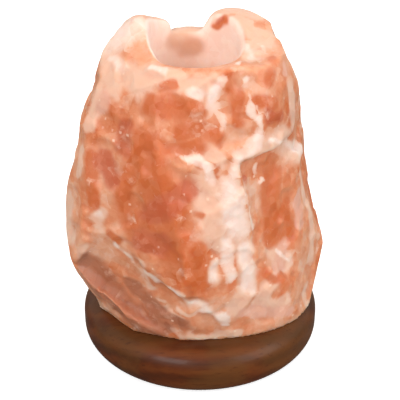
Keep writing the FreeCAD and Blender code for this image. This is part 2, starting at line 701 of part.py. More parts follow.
def centre_contact():
    """The sprung tongue under the bulb's eyelet."""
    foot_end = -CONTACT_OFFSET - RIVET_HEAD_RADIUS
    bend = -CONTACT_OFFSET + RIVET_HEAD_RADIUS + SLIDE_CLEARANCE
    level = TONGUE_TOP - CONTACT_THICKNESS
    reach = EYELET_RADIUS / 2
    points = [(foot_end, INSERT_TOP), (bend, INSERT_TOP), (-reach, level), (reach, level)]
    strip = bent_strip(points, CONTACT_THICKNESS, TONGUE_WIDTH)
    return strip.cut(rod(RIVET_RADIUS + SCREW_CLEARANCE, INSERT_TOP, TONGUE_TOP, -CONTACT_OFFSET))


def contact_rivets():
    """The two rivets that fasten the contacts to the terminals below the plate."""
    seat = INSERT_TOP + CONTACT_THICKNESS
    rivet = rod(RIVET_RADIUS, SKIRT_BOTTOM - TERMINAL_HEIGHT / 4, seat, CONTACT_OFFSET)
    head = rod(RIVET_HEAD_RADIUS, seat, seat + RIVET_HEAD_HEIGHT, CONTACT_OFFSET)
    return mirrored(rivet.fuse(head))


def terminal_block():
    """One brass terminal, under the contact plate: a block with a hole for the wire and one for its screw."""
    low = SKIRT_BOTTOM - TERMINAL_HEIGHT
    roof = SKIRT_BOTTOM - TERMINAL_HEIGHT / 4
    brass = block((CONTACT_OFFSET - TERMINAL_WIDTH / 2, -TERMINAL_LENGTH / 2, low),
                  (CONTACT_OFFSET + TERMINAL_WIDTH / 2, TERMINAL_LENGTH / 2, SKIRT_BOTTOM))
    wire = rod(WIRE_HOLE_RADIUS, low, roof, CONTACT_OFFSET, -TERMINAL_LENGTH / 4)
    rivet = rod(RIVET_RADIUS + SCREW_CLEARANCE, roof, SKIRT_BOTTOM, CONTACT_OFFSET)
    return brass.cut([wire, rivet, terminal_screw(SCREW_CLEARANCE)])


def terminal_screw(clearance=0.0):
    """One terminal screw, or the hole for it where a clearance is given."""
    height = SKIRT_BOTTOM - (TERMINAL_HEIGHT + TERMINAL_SCREW_RADIUS / 2) / 2
    inner = V(CONTACT_OFFSET, -(TERMINAL_LENGTH / 2 + WIRE_HOLE_RADIUS) / 2, height)
    outer = inner.sub(V(0, TERMINAL_SCREW_LENGTH, 0))
    screw = bar(outer, inner, TERMINAL_SCREW_RADIUS + clearance)
    if clearance:
        return screw
    slot = V(TERMINAL_SCREW_RADIUS, 0, TERMINAL_SCREW_SLOT_WIDTH / 2)
    return screw.cut(block(outer.sub(slot), outer.add(slot).add(V(0, TERMINAL_SCREW_LENGTH / 4, 0))))


# ---------------------------------------------------------------- bulb

def bulb_contact():
    """The solder eyelet at the foot of the bulb."""
    rim = EYELET_HEIGHT / 2
    outline = Profile(0, EYELET_BOTTOM).line(EYELET_RADIUS - rim, EYELET_BOTTOM)
    outline.line(EYELET_RADIUS, EYELET_BOTTOM + rim).line(EYELET_RADIUS, INSULATOR_BOTTOM)
    return outline.line(0, INSULATOR_BOTTOM).turned()


def bulb_insulator():
    """The black glass ring between the eyelet and the cap."""
    return cone(EYELET_RADIUS + CAP_WALL, CAP_BORE, INSULATOR_BOTTOM, CAP_BOTTOM)


def bulb_cap():
    """The threaded metal cap, with its collar round the neck of the glass."""
    thread_top = CAP_BOTTOM + CAP_THREAD_LENGTH
    collar_bore = GLASS_NECK_RADIUS + SEAT_CLEARANCE
    cap = rod(CAP_RADIUS, CAP_BOTTOM, CAP_TOP)
    grooves = []
    for k in range(int(CAP_THREAD_LENGTH / THREAD_PITCH)):
        height = CAP_BOTTOM + (k + 0.5) * THREAD_PITCH
        grooves.append(Part.makeTorus(CAP_RADIUS, THREAD_DEPTH, V(0, 0, height), UP))
    hollow = rod(CAP_BORE, CAP_BOTTOM, thread_top).fuse(rod(collar_bore, thread_top - CAP_WALL, CAP_TOP))
    return cap.cut(grooves + [hollow])


def glass_outline(inset, low):
    """The closed outline of the glass, or of the space in it where an inset is given."""
    radius = GLASS_RADIUS - inset
    neck = GLASS_NECK_RADIUS - inset
    shoulder = GLASS_BOTTOM + GLASS_NECK_LENGTH
    widest = GLASS_TOP - GLASS_RADIUS
    drop = widest - shoulder
    bulge = (neck + (radius - neck) * SHOULDER_OUT, shoulder + drop * SHOULDER_UP)
    outline = Profile(0, low).line(neck, low).line(neck, shoulder)
    outline.arc(bulge, (radius, widest))
    outline.corner((0, widest), radius, 0, 90)
    return outline.turned()


def bulb_glass():
    """The blown glass, open at the neck."""
    return glass_outline(0, GLASS_BOTTOM).cut(glass_outline(GLASS_WALL, GLASS_BOTTOM))


def bulb_stem():
    """The glass stem inside the neck, flared at its foot."""
    flare = GLASS_NECK_RADIUS - GLASS_WALL - SEAT_CLEARANCE
    outline = Profile(0, GLASS_BOTTOM).line(flare, GLASS_BOTTOM)
    curve = (STEM_RADIUS + (flare - STEM_RADIUS) * STEM_FLARE_OUT,
             GLASS_BOTTOM + STEM_FLARE_HEIGHT * STEM_FLARE_UP)
    outline.arc(curve, (STEM_RADIUS, GLASS_BOTTOM + STEM_FLARE_HEIGHT))
    return outline.line(STEM_RADIUS, STEM_TOP).line(0, STEM_TOP).turned()


def lead_angles():
    """The angles at which the two leads reach the filament."""
    return 90 - FILAMENT_OPENING / 2, 90 + FILAMENT_OPENING / 2


def bulb_lead(degrees):
    """One lead wire, from the top of the stem to an end of the filament."""
    start = on_circle(STEM_RADIUS - 2 * LEAD_RADIUS, degrees, STEM_TOP)
    end = on_circle(FILAMENT_RING_RADIUS, degrees, FILAMENT_SEAT)
    level = Part.makeBox(4 * STEM_RADIUS, 4 * STEM_RADIUS, STEM_RADIUS,
                         V(-2 * STEM_RADIUS, -2 * STEM_RADIUS, STEM_TOP - STEM_RADIUS))
    return bar(start, end, LEAD_RADIUS).cut(level)


def bulb_supports():
    """The fine wires that hold up the filament between its ends, from the button of the stem."""
    sweep = 360 - FILAMENT_OPENING
    supports = []
    for k in range(SUPPORT_COUNT):
        degrees = 90 + FILAMENT_OPENING / 2 + sweep * (k + 1) / (SUPPORT_COUNT + 1)
        start = V(0, 0, STEM_TOP + STEM_RADIUS / 2)
        end = on_circle(FILAMENT_RING_RADIUS, degrees, FILAMENT_SEAT)
        supports.append(bar(start, end, SUPPORT_RADIUS))
    button = rod(STEM_RADIUS / 2, STEM_TOP, STEM_TOP + STEM_RADIUS)
    return button.fuse(supports)


def bulb_filament():
    """The coiled filament, as the fine tube that its coil fills, bent to an open ring."""
    first = math.radians(90 + FILAMENT_OPENING / 2)
    last = math.radians(450 - FILAMENT_OPENING / 2)
    ring = Part.Circle(V(0, 0, FILAMENT_HEIGHT), UP, FILAMENT_RING_RADIUS)
    path = Part.Wire(Part.ArcOfCircle(ring, first, last).toShape())
    start = path.Edges[0].valueAt(first)
    coil = Part.Wire(Part.makeCircle(FILAMENT_COIL_RADIUS, start, path.Edges[0].tangentAt(first)))
    return path.makePipeShell([coil], True, False)


def main():
    """Builds every sub-part and writes it."""
    os.makedirs("parts", exist_ok=True)
    save("salt_block", salt_block())
    save("wood_base", wood_base())
    save("base_screws", salt_screws())
    for k, foot in enumerate(around(rubber_foot(), FOOT_COUNT, FOOT_FIRST_ANGLE)):
        save(f"rubber_foot_{k + 1}", foot)
    save("foot_screws", foot_screws())
    save("cord_bush", cord_bush())
    save("holder_cup", holder_cup())
    save("cord_grip", cord_grip())
    save("cord_grip_screws", grip_screws())
    save("holder_shell", holder_shell())
    save("clip_nut", clip_nut())
    save("spring_clip", spring_clip())
    save("contact_insert", contact_insert())
    save("screw_shell", screw_shell())
    save("centre_contact", centre_contact())
    save("contact_rivets", contact_rivets())
    for k, terminal in enumerate(mirrored(terminal_block())):
        save(f"terminal_block_{k + 1}", terminal)
    save("terminal_screws", mirrored(terminal_screw()))
    save("bulb_contact", bulb_contact())
    save("bulb_insulator", bulb_insulator())
    save("bulb_cap", bulb_cap())
    save("bulb_glass", bulb_glass())
    save("bulb_stem", bulb_stem())
    for k, degrees in enumerate(lead_angles()):
        save(f"bulb_lead_{k + 1}", bulb_lead(degrees))
    save("bulb_supports", bulb_supports())
    save("bulb_filament", bulb_filament())


main()
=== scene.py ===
"""The looks of a salt crystal lamp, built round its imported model.

The lamp is a rough block of rubbed pink rock salt on a turned, lacquered disc of dark wood.  The block is
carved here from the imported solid: broken faces, chips and grain are cut into its mesh, and the milky
and amber zones of the crystal are laid on as surface values that its material reads.  Blender's lengths are
metres.  The rock's sizes, its marks and the camera's place are in millimetres, as is what has mm in its name.
"""

import itertools
import json
import logging
import math
from dataclasses import dataclass, field
from enum import Enum

import bpy
import numpy as np
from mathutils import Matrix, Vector

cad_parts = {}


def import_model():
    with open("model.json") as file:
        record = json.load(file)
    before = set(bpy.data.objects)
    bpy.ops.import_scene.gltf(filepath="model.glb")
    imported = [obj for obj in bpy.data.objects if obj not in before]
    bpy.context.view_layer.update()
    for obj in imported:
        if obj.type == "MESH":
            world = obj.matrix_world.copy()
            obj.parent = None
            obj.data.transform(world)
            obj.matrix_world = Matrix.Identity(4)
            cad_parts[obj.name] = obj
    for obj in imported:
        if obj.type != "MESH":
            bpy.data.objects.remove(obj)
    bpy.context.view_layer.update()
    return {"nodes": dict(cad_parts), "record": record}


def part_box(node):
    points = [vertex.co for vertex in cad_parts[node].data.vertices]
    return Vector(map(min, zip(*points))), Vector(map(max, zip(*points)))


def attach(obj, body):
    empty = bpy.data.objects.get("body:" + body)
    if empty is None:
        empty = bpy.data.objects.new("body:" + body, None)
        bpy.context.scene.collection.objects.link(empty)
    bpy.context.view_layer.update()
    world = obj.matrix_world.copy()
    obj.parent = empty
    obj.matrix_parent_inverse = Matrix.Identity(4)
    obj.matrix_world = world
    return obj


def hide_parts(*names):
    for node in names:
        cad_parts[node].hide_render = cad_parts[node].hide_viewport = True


LOG = logging.getLogger("salt_lamp")


def mm(length: float) -> float:
    """Turns millimetres into Blender's metres."""
    return length / 1000.0


Tree, Node, Socket = bpy.types.NodeTree, bpy.types.Node, bpy.types.NodeSocket
Mesh, Piece = bpy.types.Mesh, bpy.types.Object
Values = np.ndarray
Colour = tuple[float, float, float, float]
Point = tuple[float, float, float]
Line = tuple[Point, ...]
Span = tuple[float, float]


# ---------------------------------------------------------------- material helpers

def linear(hex_colour: str) -> Colour:
    """Turns an sRGB hex colour into a linear one.

    Args:
        hex_colour: six hex digits, such as "D27A50".

    Returns:
        The linear red, green and blue, and a full alpha.
    """
    channels = [int(hex_colour[k:k + 2], 16) / 255 for k in (0, 2, 4)]
    bent = [c / 12.92 if c <= 0.04045 else ((c + 0.055) / 1.055) ** 2.4 for c in channels]
    return bent[0], bent[1], bent[2], 1.0


def join(tree: Tree, node: Node, sources: dict) -> None:
    """Gives the inputs of a node their links and values.

    Args:
        tree: the node tree.
        node: the node.
        sources: input socket, by name or number, to the output socket that feeds it, or to a value.
    """
    for socket, source in sources.items():
        if isinstance(source, Socket):
            tree.links.new(source, node.inputs[socket])
        else:
            node.inputs[socket].default_value = source


def add_node(tree: Tree, kind: str, links: dict | None = None, **settings) -> Node:
    """Adds a shader node with its settings and links.

    Args:
        tree: the node tree that it goes into.
        kind: the node's type name, without its "ShaderNode" start.
        links: its sources, as join takes them.
        settings: attributes of the node itself.

    Returns:
        The new node.
    """
    node = tree.nodes.new("ShaderNode" + kind)
    for name, value in settings.items():
        setattr(node, name, value)
    join(tree, node, links or {})
    return node


@dataclass(frozen=True)
class Finish:
    """What every finish has: a name and the values of its surface shader."""

    name: str
    colour: str
    roughness: float
    metallic: float = 0.0

    def material(self) -> bpy.types.Material:
        """Makes the Blender material with its surface shader joined up.

        Returns:
            The material.
        """
        material = bpy.data.materials.new(self.name)
        material.use_nodes = True
        tree = material.node_tree
        tree.nodes.clear()
        surface = add_node(tree, "BsdfPrincipled", {
            "Base Color": linear(self.colour), "Roughness": self.roughness, "Metallic": self.metallic})
        add_node(tree, "OutputMaterial", {"Surface": surface.outputs["BSDF"]})
        self.dress(tree, surface)
        return material

    def dress(self, tree: Tree, surface: Node) -> None:
        """Adds the pattern of the finish to its shader; each finish has its own."""


def grain(tree: Tree, size_mm: float, detail: float = 4.0, stretch: Point = (1.0, 1.0, 1.0)) -> Socket:
    """Adds a noise of a real size over the object's own coordinates.

    Args:
        tree: the node tree.
        size_mm: the width of one blotch, in millimetres.
        detail: how many finer layers it has.
        stretch: how much the pattern is squeezed along X, Y and Z.

    Returns:
        The noise's value socket, from 0 to 1.
    """
    place = add_node(tree, "TexCoord").outputs["Object"]
    mapped = add_node(tree, "Mapping", {"Vector": place, "Scale": stretch})
    noise = add_node(tree, "TexNoise", {"Vector": mapped.outputs["Vector"], "Scale": 1.0 / mm(size_mm),
                                        "Detail": detail, "Roughness": 0.55})
    return noise.outputs["Fac"]


def ramp(tree: Tree, value: Socket, stops: list[tuple[float, Colour]]) -> Socket:
    """Adds a colour ramp.

    Args:
        tree: the node tree.
        value: what the ramp reads.
        stops: the place and the linear colour of each stop, from low to high.

    Returns:
        The ramp's colour socket.
    """
    node = add_node(tree, "ValToRGB", {"Fac": value})
    elements = node.color_ramp.elements
    elements[0].position, elements[0].color = stops[0]
    elements[1].position, elements[1].color = stops[-1]
    for place, colour in stops[1:-1]:
        elements.new(place).color = colour
    return node.outputs["Color"]


def relief(tree: Tree, surface: Node, height: Socket, depth_mm: float, under: Socket | None = None) -> Socket:
    """Joins a bump of a real depth to a shader.

    Args:
        tree: the node tree.
        surface: the shader that the bump goes to.
        height: the relief, from 0 to 1.
        depth_mm: its depth in millimetres.
        under: a bump that it lies on.

    Returns:
        The normal socket of the bump.
    """
    links = {"Height": height, "Distance": mm(depth_mm), "Strength": 1.0}
    if under is not None:
        links["Normal"] = under
    bump = add_node(tree, "Bump", links)
    tree.links.new(bump.outputs["Normal"], surface.inputs["Normal"])
    return bump.outputs["Normal"]


def between(tree: Tree, value: Socket, low: float, high: float,
            to_low: float = 0.0, to_high: float = 1.0) -> Socket:
    """Maps a value smoothly from the span low to high to another span, held at its ends."""
    spans = {"Value": value, "From Min": low, "From Max": high, "To Min": to_low, "To Max": to_high}
    return add_node(tree, "MapRange", spans, interpolation_type="SMOOTHSTEP").outputs["Result"]


def blend(tree: Tree, share: Socket, first: Socket | Colour, second: Socket | Colour) -> Socket:
    """Mixes two colours: a share of 0 gives the first, 1 the second."""
    return add_node(tree, "Mix", {0: share, 6: first, 7: second}, data_type="RGBA").outputs[2]


def sum_of(tree: Tree, first: Socket, second: Socket, share: float) -> Socket:
    """Adds a share of a second value, from 0 to 1 and less its middle, to a first."""
    node = add_node(tree, "Math", {0: second, 1: share, 2: -share / 2}, operation="MULTIPLY_ADD")
    return add_node(tree, "Math", {0: first, 1: node.outputs[0]}, operation="ADD").outputs[0]


# ---------------------------------------------------------------- finishes

# how wide one dark or one light band of Blender's wave texture is at scale 1, in metres
WAVE_BAND = 0.16


class Zone(Enum):
    """The zones of the crystal, and of the shade painted into its colour, each kept on the rock's mesh as a
    surface value of that name.
    """

    PALE = "pale"
    MILKY = "milky"
    AMBER = "amber"
    RUST = "rust"
    ROSE = "rose"
    # painted shade on the down-facing facets low on the left
    CLAY = "underside_shade"
    BORED = "bored"
    # a patch of painted shade inside the well
    WELL_SHADE = "well_shade"


@dataclass(frozen=True)
class RockSalt(Finish):
    """Natural rock salt, broken and then rubbed smooth by hand: waxy, with light let in near the surface."""

    name: str = "Rock salt, rubbed"
    colour: str = "DC8C62"
    roughness: float = 0.5
    milky: str = "F6DFD3"
    pale: str = "EBC3AB"
    amber: str = "CE6A34"
    rust: str = "C6623C"
    rose: str = "E6B29C"
    # the colour of the painted shade on the down-facing facets
    underside_shade: str = "B26E50"
    peach: str = "E4A684"
    # the colour of the painted highlight glints
    painted_glint: str = "F6D8C2"
    well: str = "F7E2D6"
    # the colour of the painted shade inside the well
    well_shade: str = "D5A488"
    cloud_mm: float = 30.0
    patch_mm: float = 11.0
    block_mm: float = 6.0
    fleck_mm: float = 4.5
    painted_glint_mm: float = 4.0
    facet_mm: float = 3.6
    splinter_mm: float = 2.4
    speck_mm: float = 1.5  # its grain is finer, but would not show
    light_mm: float = 5.5
    facet_tilt: float = 0.22
    fleck_depth_mm: float = 0.22
    speck_depth_mm: float = 0.12

    def dress(self, tree: Tree, surface: Node) -> None:
        """Lays the crystal's zones and the painted shades over each other, each with a torn edge, then grain,
        painted glints and depth.

        Args:
            tree: the material's nodes.
            surface: its surface shader.
        """
        place = add_node(tree, "TexCoord").outputs["Object"]
        cloud = grain(tree, self.cloud_mm, 6.0)
        patch = grain(tree, self.patch_mm, 6.0)
        fleck = grain(tree, self.fleck_mm, 6.0)
        speck = grain(tree, self.speck_mm, 3.0)
        block = self.crystal_block(tree, place, self.block_mm)
        splinter = self.crystal_block(tree, place, self.splinter_mm)
        zones = {zone: add_node(tree, "Attribute", attribute_name=zone.value).outputs["Fac"] for zone in Zone}
        stirred = cloud
        for pattern, share in ((patch, 0.4), (block, 0.14), (splinter, 0.06)):
            stirred = sum_of(tree, stirred, pattern, share)
        body = ramp(tree, stirred, [(0.28, linear(self.amber)), (0.45, linear(self.colour)),
                                    (0.6, linear(self.peach)), (0.8, linear(self.pale))])
        # each zone's colour, painted shades among them, and how far the patterns tear its edge
        layers = [(Zone.PALE, self.pale, 0.55), (Zone.ROSE, self.rose, 0.5), (Zone.AMBER, self.amber, 0.7),
                  (Zone.RUST, self.rust, 0.6), (Zone.CLAY, self.underside_shade, 0.5), (Zone.MILKY, self.milky, 0.9)]
        for zone, colour, tear in layers:
            torn = zones[zone]
            for pattern, share in ((patch, 0.8), (block, 0.4), (fleck, 0.6), (splinter, 0.15)):
                torn = sum_of(tree, torn, pattern, tear * share)
            if zone is Zone.MILKY:
                # milky salt has a pale halo, and thins out slowly
                body = blend(tree, between(tree, torn, 0.1, 0.5, 0.0, 0.8), body, linear(self.pale))
                share = between(tree, torn, 0.2, 1.1, 0.0, 0.94)
            else:
                share = between(tree, torn, 0.12, 0.88, 0.0, 0.9)
            body = blend(tree, share, body, linear(colour))
        # the bored wall is even in colour but for painted shade at its back and the amber that runs through it
        bored = zones[Zone.BORED]
        well_shade_share = between(tree, zones[Zone.WELL_SHADE], 0.0, 1.0, 0.0, 0.85)
        wall = blend(tree, well_shade_share, linear(self.well), linear(self.well_shade))
        even = add_node(tree, "Math", {0: bored, 1: zones[Zone.AMBER]}, operation="SUBTRACT").outputs[0]
        body = blend(tree, between(tree, even, 0.0, 0.95, 0.0, 0.9), body, wall)
        facets = add_node(tree, "TexVoronoi", {"Vector": place, "Scale": 1.0 / mm(self.facet_mm)})
        lightness = add_node(tree, "SeparateColor", {"Color": facets.outputs["Color"]})
        body = blend(tree, between(tree, lightness.outputs[0], 0.0, 1.0, 0.0, 0.14), body, linear(self.peach))
        # painted highlight: small pale glints laid into the colour where broken crystals would sparkle
        body = blend(tree, self.painted_glints(tree, place, bored), body, linear(self.painted_glint))
        join(tree, surface, {
            "Base Color": body, "Roughness": between(tree, fleck, 0.3, 0.7, 0.36, 0.6), "IOR": 1.54,
            "Specular IOR Level": 0.35, "Subsurface Weight": 1.0, "Subsurface Radius": (1.0, 0.82, 0.7),
            "Subsurface Scale": mm(self.light_mm)})
        self.broken_grain(tree, surface, facets, fleck, speck, bored)

    def crystal_block(self, tree: Tree, place: Socket, size_mm: float) -> Socket:
        """Gives each crystal in the mass a value of its own, with slightly bent borders between them.

        Args:
            tree: the node tree.
            place: the coordinates.
            size_mm: how wide the crystals are.

        Returns:
            A value from 0 to 1, the same all over one crystal.
        """
        bend = add_node(tree, "TexNoise", {"Vector": place, "Scale": 1.0 / mm(size_mm * 0.8), "Detail": 3.0})
        bend = add_node(tree, "VectorMath", {0: bend.outputs["Color"], "Scale": mm(size_mm * 0.6)},
                        operation="SCALE")
        bent = add_node(tree, "VectorMath", {0: place, 1: bend.outputs[0]}, operation="ADD")
        block = add_node(tree, "TexVoronoi", {"Vector": bent.outputs[0], "Scale": 1.0 / mm(size_mm)})
        return add_node(tree, "SeparateColor", {"Color": block.outputs["Color"]}).outputs[0]

    def painted_glints(self, tree: Tree, place: Socket, bored: Socket) -> Socket:
        """Picks small spots of painted highlight, where broken crystals would sparkle; none in the well.

        Args:
            tree: the node tree.
            place: the coordinates.
            bored: how much a point belongs to the well's wall.

        Returns:
            The share of the painted highlight's colour.
        """
        spots = add_node(tree, "TexVoronoi", {"Vector": place, "Scale": 1.0 / mm(self.painted_glint_mm)},
                         distance="CHEBYCHEV")
        chosen = add_node(tree, "SeparateColor", {"Color": spots.outputs["Color"]})
        near = between(tree, spots.outputs["Distance"], 0.08, 0.2, 1.0, 0.0)
        picked = between(tree, chosen.outputs[2], 0.84, 0.9, 0.0, 0.6)
        share = add_node(tree, "Math", {0: near, 1: picked}, operation="MULTIPLY").outputs[0]
        return add_node(tree, "Math", {0: share, 1: between(tree, bored, 0.1, 0.6, 1.0, 0.0)},
                        operation="MULTIPLY").outputs[0]

    def broken_grain(self, tree: Tree, surface: Node, facets: Node, fleck: Socket, speck: Socket,
                     bored: Socket) -> None:
        """Tilts the surface facet by facet, as broken crystals do, and adds fine grain over it.

        Args:
            tree: the node tree.
            surface: the salt's shader.
            facets: the pattern whose cells are the crystals.
            fleck: the coarse grain.
            speck: the fine grain.
            bored: how much a point belongs to the smooth wall of the well.
        """
        tilt = add_node(tree, "VectorMath", {0: facets.outputs["Color"], 1: (0.5, 0.5, 0.5)},
                        operation="SUBTRACT")
        amount = between(tree, bored, 0.1, 0.7, self.facet_tilt, 0.0)
        tilt = add_node(tree, "VectorMath", {0: tilt.outputs[0], "Scale": amount}, operation="SCALE")
        facing = add_node(tree, "NewGeometry").outputs["Normal"]
        facing = add_node(tree, "VectorMath", {0: facing, 1: tilt.outputs[0]}, operation="ADD")
        facing = add_node(tree, "VectorMath", {0: facing.outputs[0]}, operation="NORMALIZE")
        coarse = relief(tree, surface, fleck, self.fleck_depth_mm, facing.outputs[0])
        relief(tree, surface, speck, self.speck_depth_mm, coarse)


@dataclass(frozen=True)
class LacqueredWood(Finish):
    """Dark tropical hardwood, turned and lacquered: brown with darker pores, under a clear glossy coat."""

    name: str = "Hardwood, turned and lacquered"
    colour: str = "5A2A11"
    roughness: float = 0.34
    dark: str = "45210F"
    light: str = "6C3717"
    golden: str = "62401F"
    golden_mm: float = 34.0
    figure_mm: float = 16.0
    band_mm: float = 5.0
    pore_mm: float = 1.4  # wider than real pores, so that they show
    pore_depth_mm: float = 0.06

    def dress(self, tree: Tree, surface: Node) -> None:
        """Adds long wavy growth bands along X, fine pores, and the coat.

        Args:
            tree: the material's nodes.
            surface: its surface shader.
        """
        place = add_node(tree, "TexCoord").outputs["Object"]
        stretched = add_node(tree, "Mapping", {"Vector": place, "Scale": (0.25, 1.0, 1.0),
                                               "Rotation": (0.35, 0.0, 0.12)})
        bands = add_node(tree, "TexWave", {
            "Vector": stretched.outputs["Vector"], "Scale": WAVE_BAND / mm(self.band_mm), "Distortion": 6.0,
            "Detail": 5.0, "Detail Scale": 1.5, "Detail Roughness": 0.65},
                         wave_type="BANDS", bands_direction="Z")
        figure = grain(tree, self.figure_mm, 6.0, (0.3, 1.0, 1.0))
        value = sum_of(tree, figure, bands.outputs["Fac"], 0.35)
        body = ramp(tree, value, [(0.25, linear(self.dark)), (0.5, linear(self.colour)),
                                  (0.78, linear(self.light))])
        sunlit = between(tree, grain(tree, self.golden_mm, 4.0), 0.4, 0.62, 0.0, 0.55)
        body = blend(tree, sunlit, body, linear(self.golden))
        pores = grain(tree, self.pore_mm, 2.0, (0.08, 1.0, 1.0))
        body = blend(tree, between(tree, pores, 0.58, 0.7, 0.0, 0.5), body, linear(self.dark))
        join(tree, surface, {
            "Base Color": body, "Roughness": between(tree, figure, 0.2, 0.8, 0.34, 0.5),
            "Specular IOR Level": 0.15, "Coat Weight": 0.1, "Coat Roughness": 0.14})
        relief(tree, surface, pores, self.pore_depth_mm)


@dataclass(frozen=True)
class MouldedBlack(Finish):
    """A black moulded part: thermoset, plastic or rubber, with a fine eroded texture from its mould."""

    name: str = "Black thermoset, moulded"
    colour: str = "1C1B1A"
    roughness: float = 0.42
    texture_mm: float = 0.5
    depth_mm: float = 0.02
    dusty: str = "2C2A28"
    dust_mm: float = 9.0

    def dress(self, tree: Tree, surface: Node) -> None:
        """Adds the mould's texture and slightly uneven gloss.

        Args:
            tree: the material's nodes.
            surface: its surface shader.
        """
        fine = grain(tree, self.texture_mm, 3.0)
        broad = grain(tree, self.dust_mm, 3.0)
        body = blend(tree, between(tree, broad, 0.3, 0.7, 0.0, 0.35), linear(self.colour), linear(self.dusty))
        spread = self.roughness * 0.2
        gloss = between(tree, broad, 0.3, 0.7, self.roughness - spread, self.roughness + spread)
        join(tree, surface, {"Base Color": body, "Roughness": gloss})
        relief(tree, surface, fine, self.depth_mm)


@dataclass(frozen=True)
class WorkedMetal(Finish):
    """A bare or plated metal part, with the fine lines of drawing, rolling or turning."""

    name: str = "Steel, zinc plated"
    colour: str = "B9BBBA"
    roughness: float = 0.32
    metallic: float = 1.0
    tarnish: str = "8F918F"
    line_mm: float = 0.25
    along: Point = (1.0, 1.0, 0.1)
    blotch_mm: float = 3.0
    line_depth_mm: float = 0.008

    def dress(self, tree: Tree, surface: Node) -> None:
        """Adds tarnish in soft blotches and the working lines.

        Args:
            tree: the material's nodes.
            surface: its surface shader.
        """
        blotch = grain(tree, self.blotch_mm, 4.0)
        body = blend(tree, between(tree, blotch, 0.35, 0.75), linear(self.colour), linear(self.tarnish))
        gloss = between(tree, blotch, 0.3, 0.7, self.roughness * 0.8, self.roughness * 1.3)
        join(tree, surface, {"Base Color": body, "Roughness": gloss})
        relief(tree, surface, grain(tree, self.line_mm, 2.0, self.along), self.line_depth_mm)


@dataclass(frozen=True)
class LampGlass(Finish):
    """Clear soda-lime glass, blown or pressed, with the faint waves of its making."""

    name: str = "Soda-lime glass, blown"
    colour: str = "F7F8F5"
    roughness: float = 0.02
    wave_mm: float = 7.0
    wave_depth_mm: float = 0.05
    dust_mm: float = 2.0

    def dress(self, tree: Tree, surface: Node) -> None:
        """Makes it clear, with a slight wave and dust.

        Args:
            tree: the material's nodes.
            surface: its surface shader.
        """
        gloss = between(tree, grain(tree, self.dust_mm, 5.0), 0.5, 0.8, 0.02, 0.14)
        join(tree, surface, {"Transmission Weight": 1.0, "IOR": 1.51, "Roughness": gloss})
        relief(tree, surface, grain(tree, self.wave_mm, 2.0), self.wave_depth_mm)


@dataclass(frozen=True)
class FiredCeramic(Finish):
    """Unglazed white steatite, pressed and fired: matt, faintly grained."""

    name: str = "Steatite, pressed and fired"
    colour: str = "D9D4C8"
    roughness: float = 0.7
    stain: str = "C6BEAE"
    stain_mm: float = 6.0
    grain_mm: float = 0.4
    grain_depth_mm: float = 0.03

    def dress(self, tree: Tree, surface: Node) -> None:
        """Adds the grain and faint stains.

        Args:
            tree: the material's nodes.
            surface: its surface shader.
        """
        stained = between(tree, grain(tree, self.stain_mm), 0.4, 0.75)
        body = blend(tree, stained, linear(self.colour), linear(self.stain))
        join(tree, surface, {"Base Color": body})
        relief(tree, surface, grain(tree, self.grain_mm, 3.0), self.grain_depth_mm)


# ---------------------------------------------------------------- mesh helpers

def rows(items: bpy.types.bpy_prop_collection, name: str, width: int, kind: type) -> Values:
    """Reads one attribute of a mesh's points or edges.

    Args:
        items: the points, normals or edges.
        name: the attribute's name.
        width: how many numbers each item has.
        kind: the numbers' type.

    Returns:
        One row for each item.
    """
    flat = np.empty(len(items) * width, kind)
    items.foreach_get(name, flat)
    return flat.reshape(-1, width)


def points_of(mesh: Mesh) -> Values:
    """The mesh's points as rows of X, Y and Z, in millimetres."""
    return rows(mesh.vertices, "co", 3, np.float32).astype(np.float64) * 1000.0


def set_points(mesh: Mesh, points: Values) -> None:
    """Moves the mesh's points to rows of X, Y and Z, in millimetres."""
    mesh.vertices.foreach_set("co", (points / 1000.0).astype(np.float32).ravel())
    mesh.update()


def normals_of(mesh: Mesh) -> Values:
    """The mesh's normals at its points."""
    return rows(mesh.vertex_normals, "vector", 3, np.float32).astype(np.float64)


def edges_of(mesh: Mesh) -> Values:
    """The mesh's edges as pairs of point numbers."""
    return rows(mesh.edges, "vertices", 2, np.int32)


def smoothstep(values: Values, low: float, high: float) -> Values:
    """Rises smoothly from 0 at low to 1 at high."""
    share = np.clip((values - low) / (high - low), 0.0, 1.0)
    return share * share * (3.0 - 2.0 * share)


# large odd numbers that stir the cells of the noise's lattice
HASH_AXES = np.array((73856093, 19349663, 83492791))
HASH_SEED = 2654435761
HASH_STIR = 1274126177


def lattice_noise(points: Values, size: float, seed: int) -> Values:
    """Smooth noise from -1 to 1 at points, the same for the same seed.

    Args:
        points: rows of X, Y and Z.
        size: the spacing of the noise's lattice, in the points' unit.
        seed: picks one noise among many.

    Returns:
        One value for each row.
    """
    place = points / size + 0.37 * seed
    cell = np.floor(place).astype(np.int64)
    share = place - cell
    share = share * share * (3.0 - 2.0 * share)
    total = np.zeros(len(points))
    for corner in itertools.product((0, 1), repeat=3):
        near = cell + np.array(corner)
        mixed = np.bitwise_xor.reduce(near * HASH_AXES, axis=1) ^ (seed * HASH_SEED)
        mixed = (mixed ^ (mixed >> 13)) * HASH_STIR
        value = ((mixed >> 9) & 0xFFFF) / 32767.5 - 1.0
        weight = np.ones(len(points))
        for axis in range(3):
            weight *= share[:, axis] if corner[axis] else 1.0 - share[:, axis]
        total += weight * value
    return total


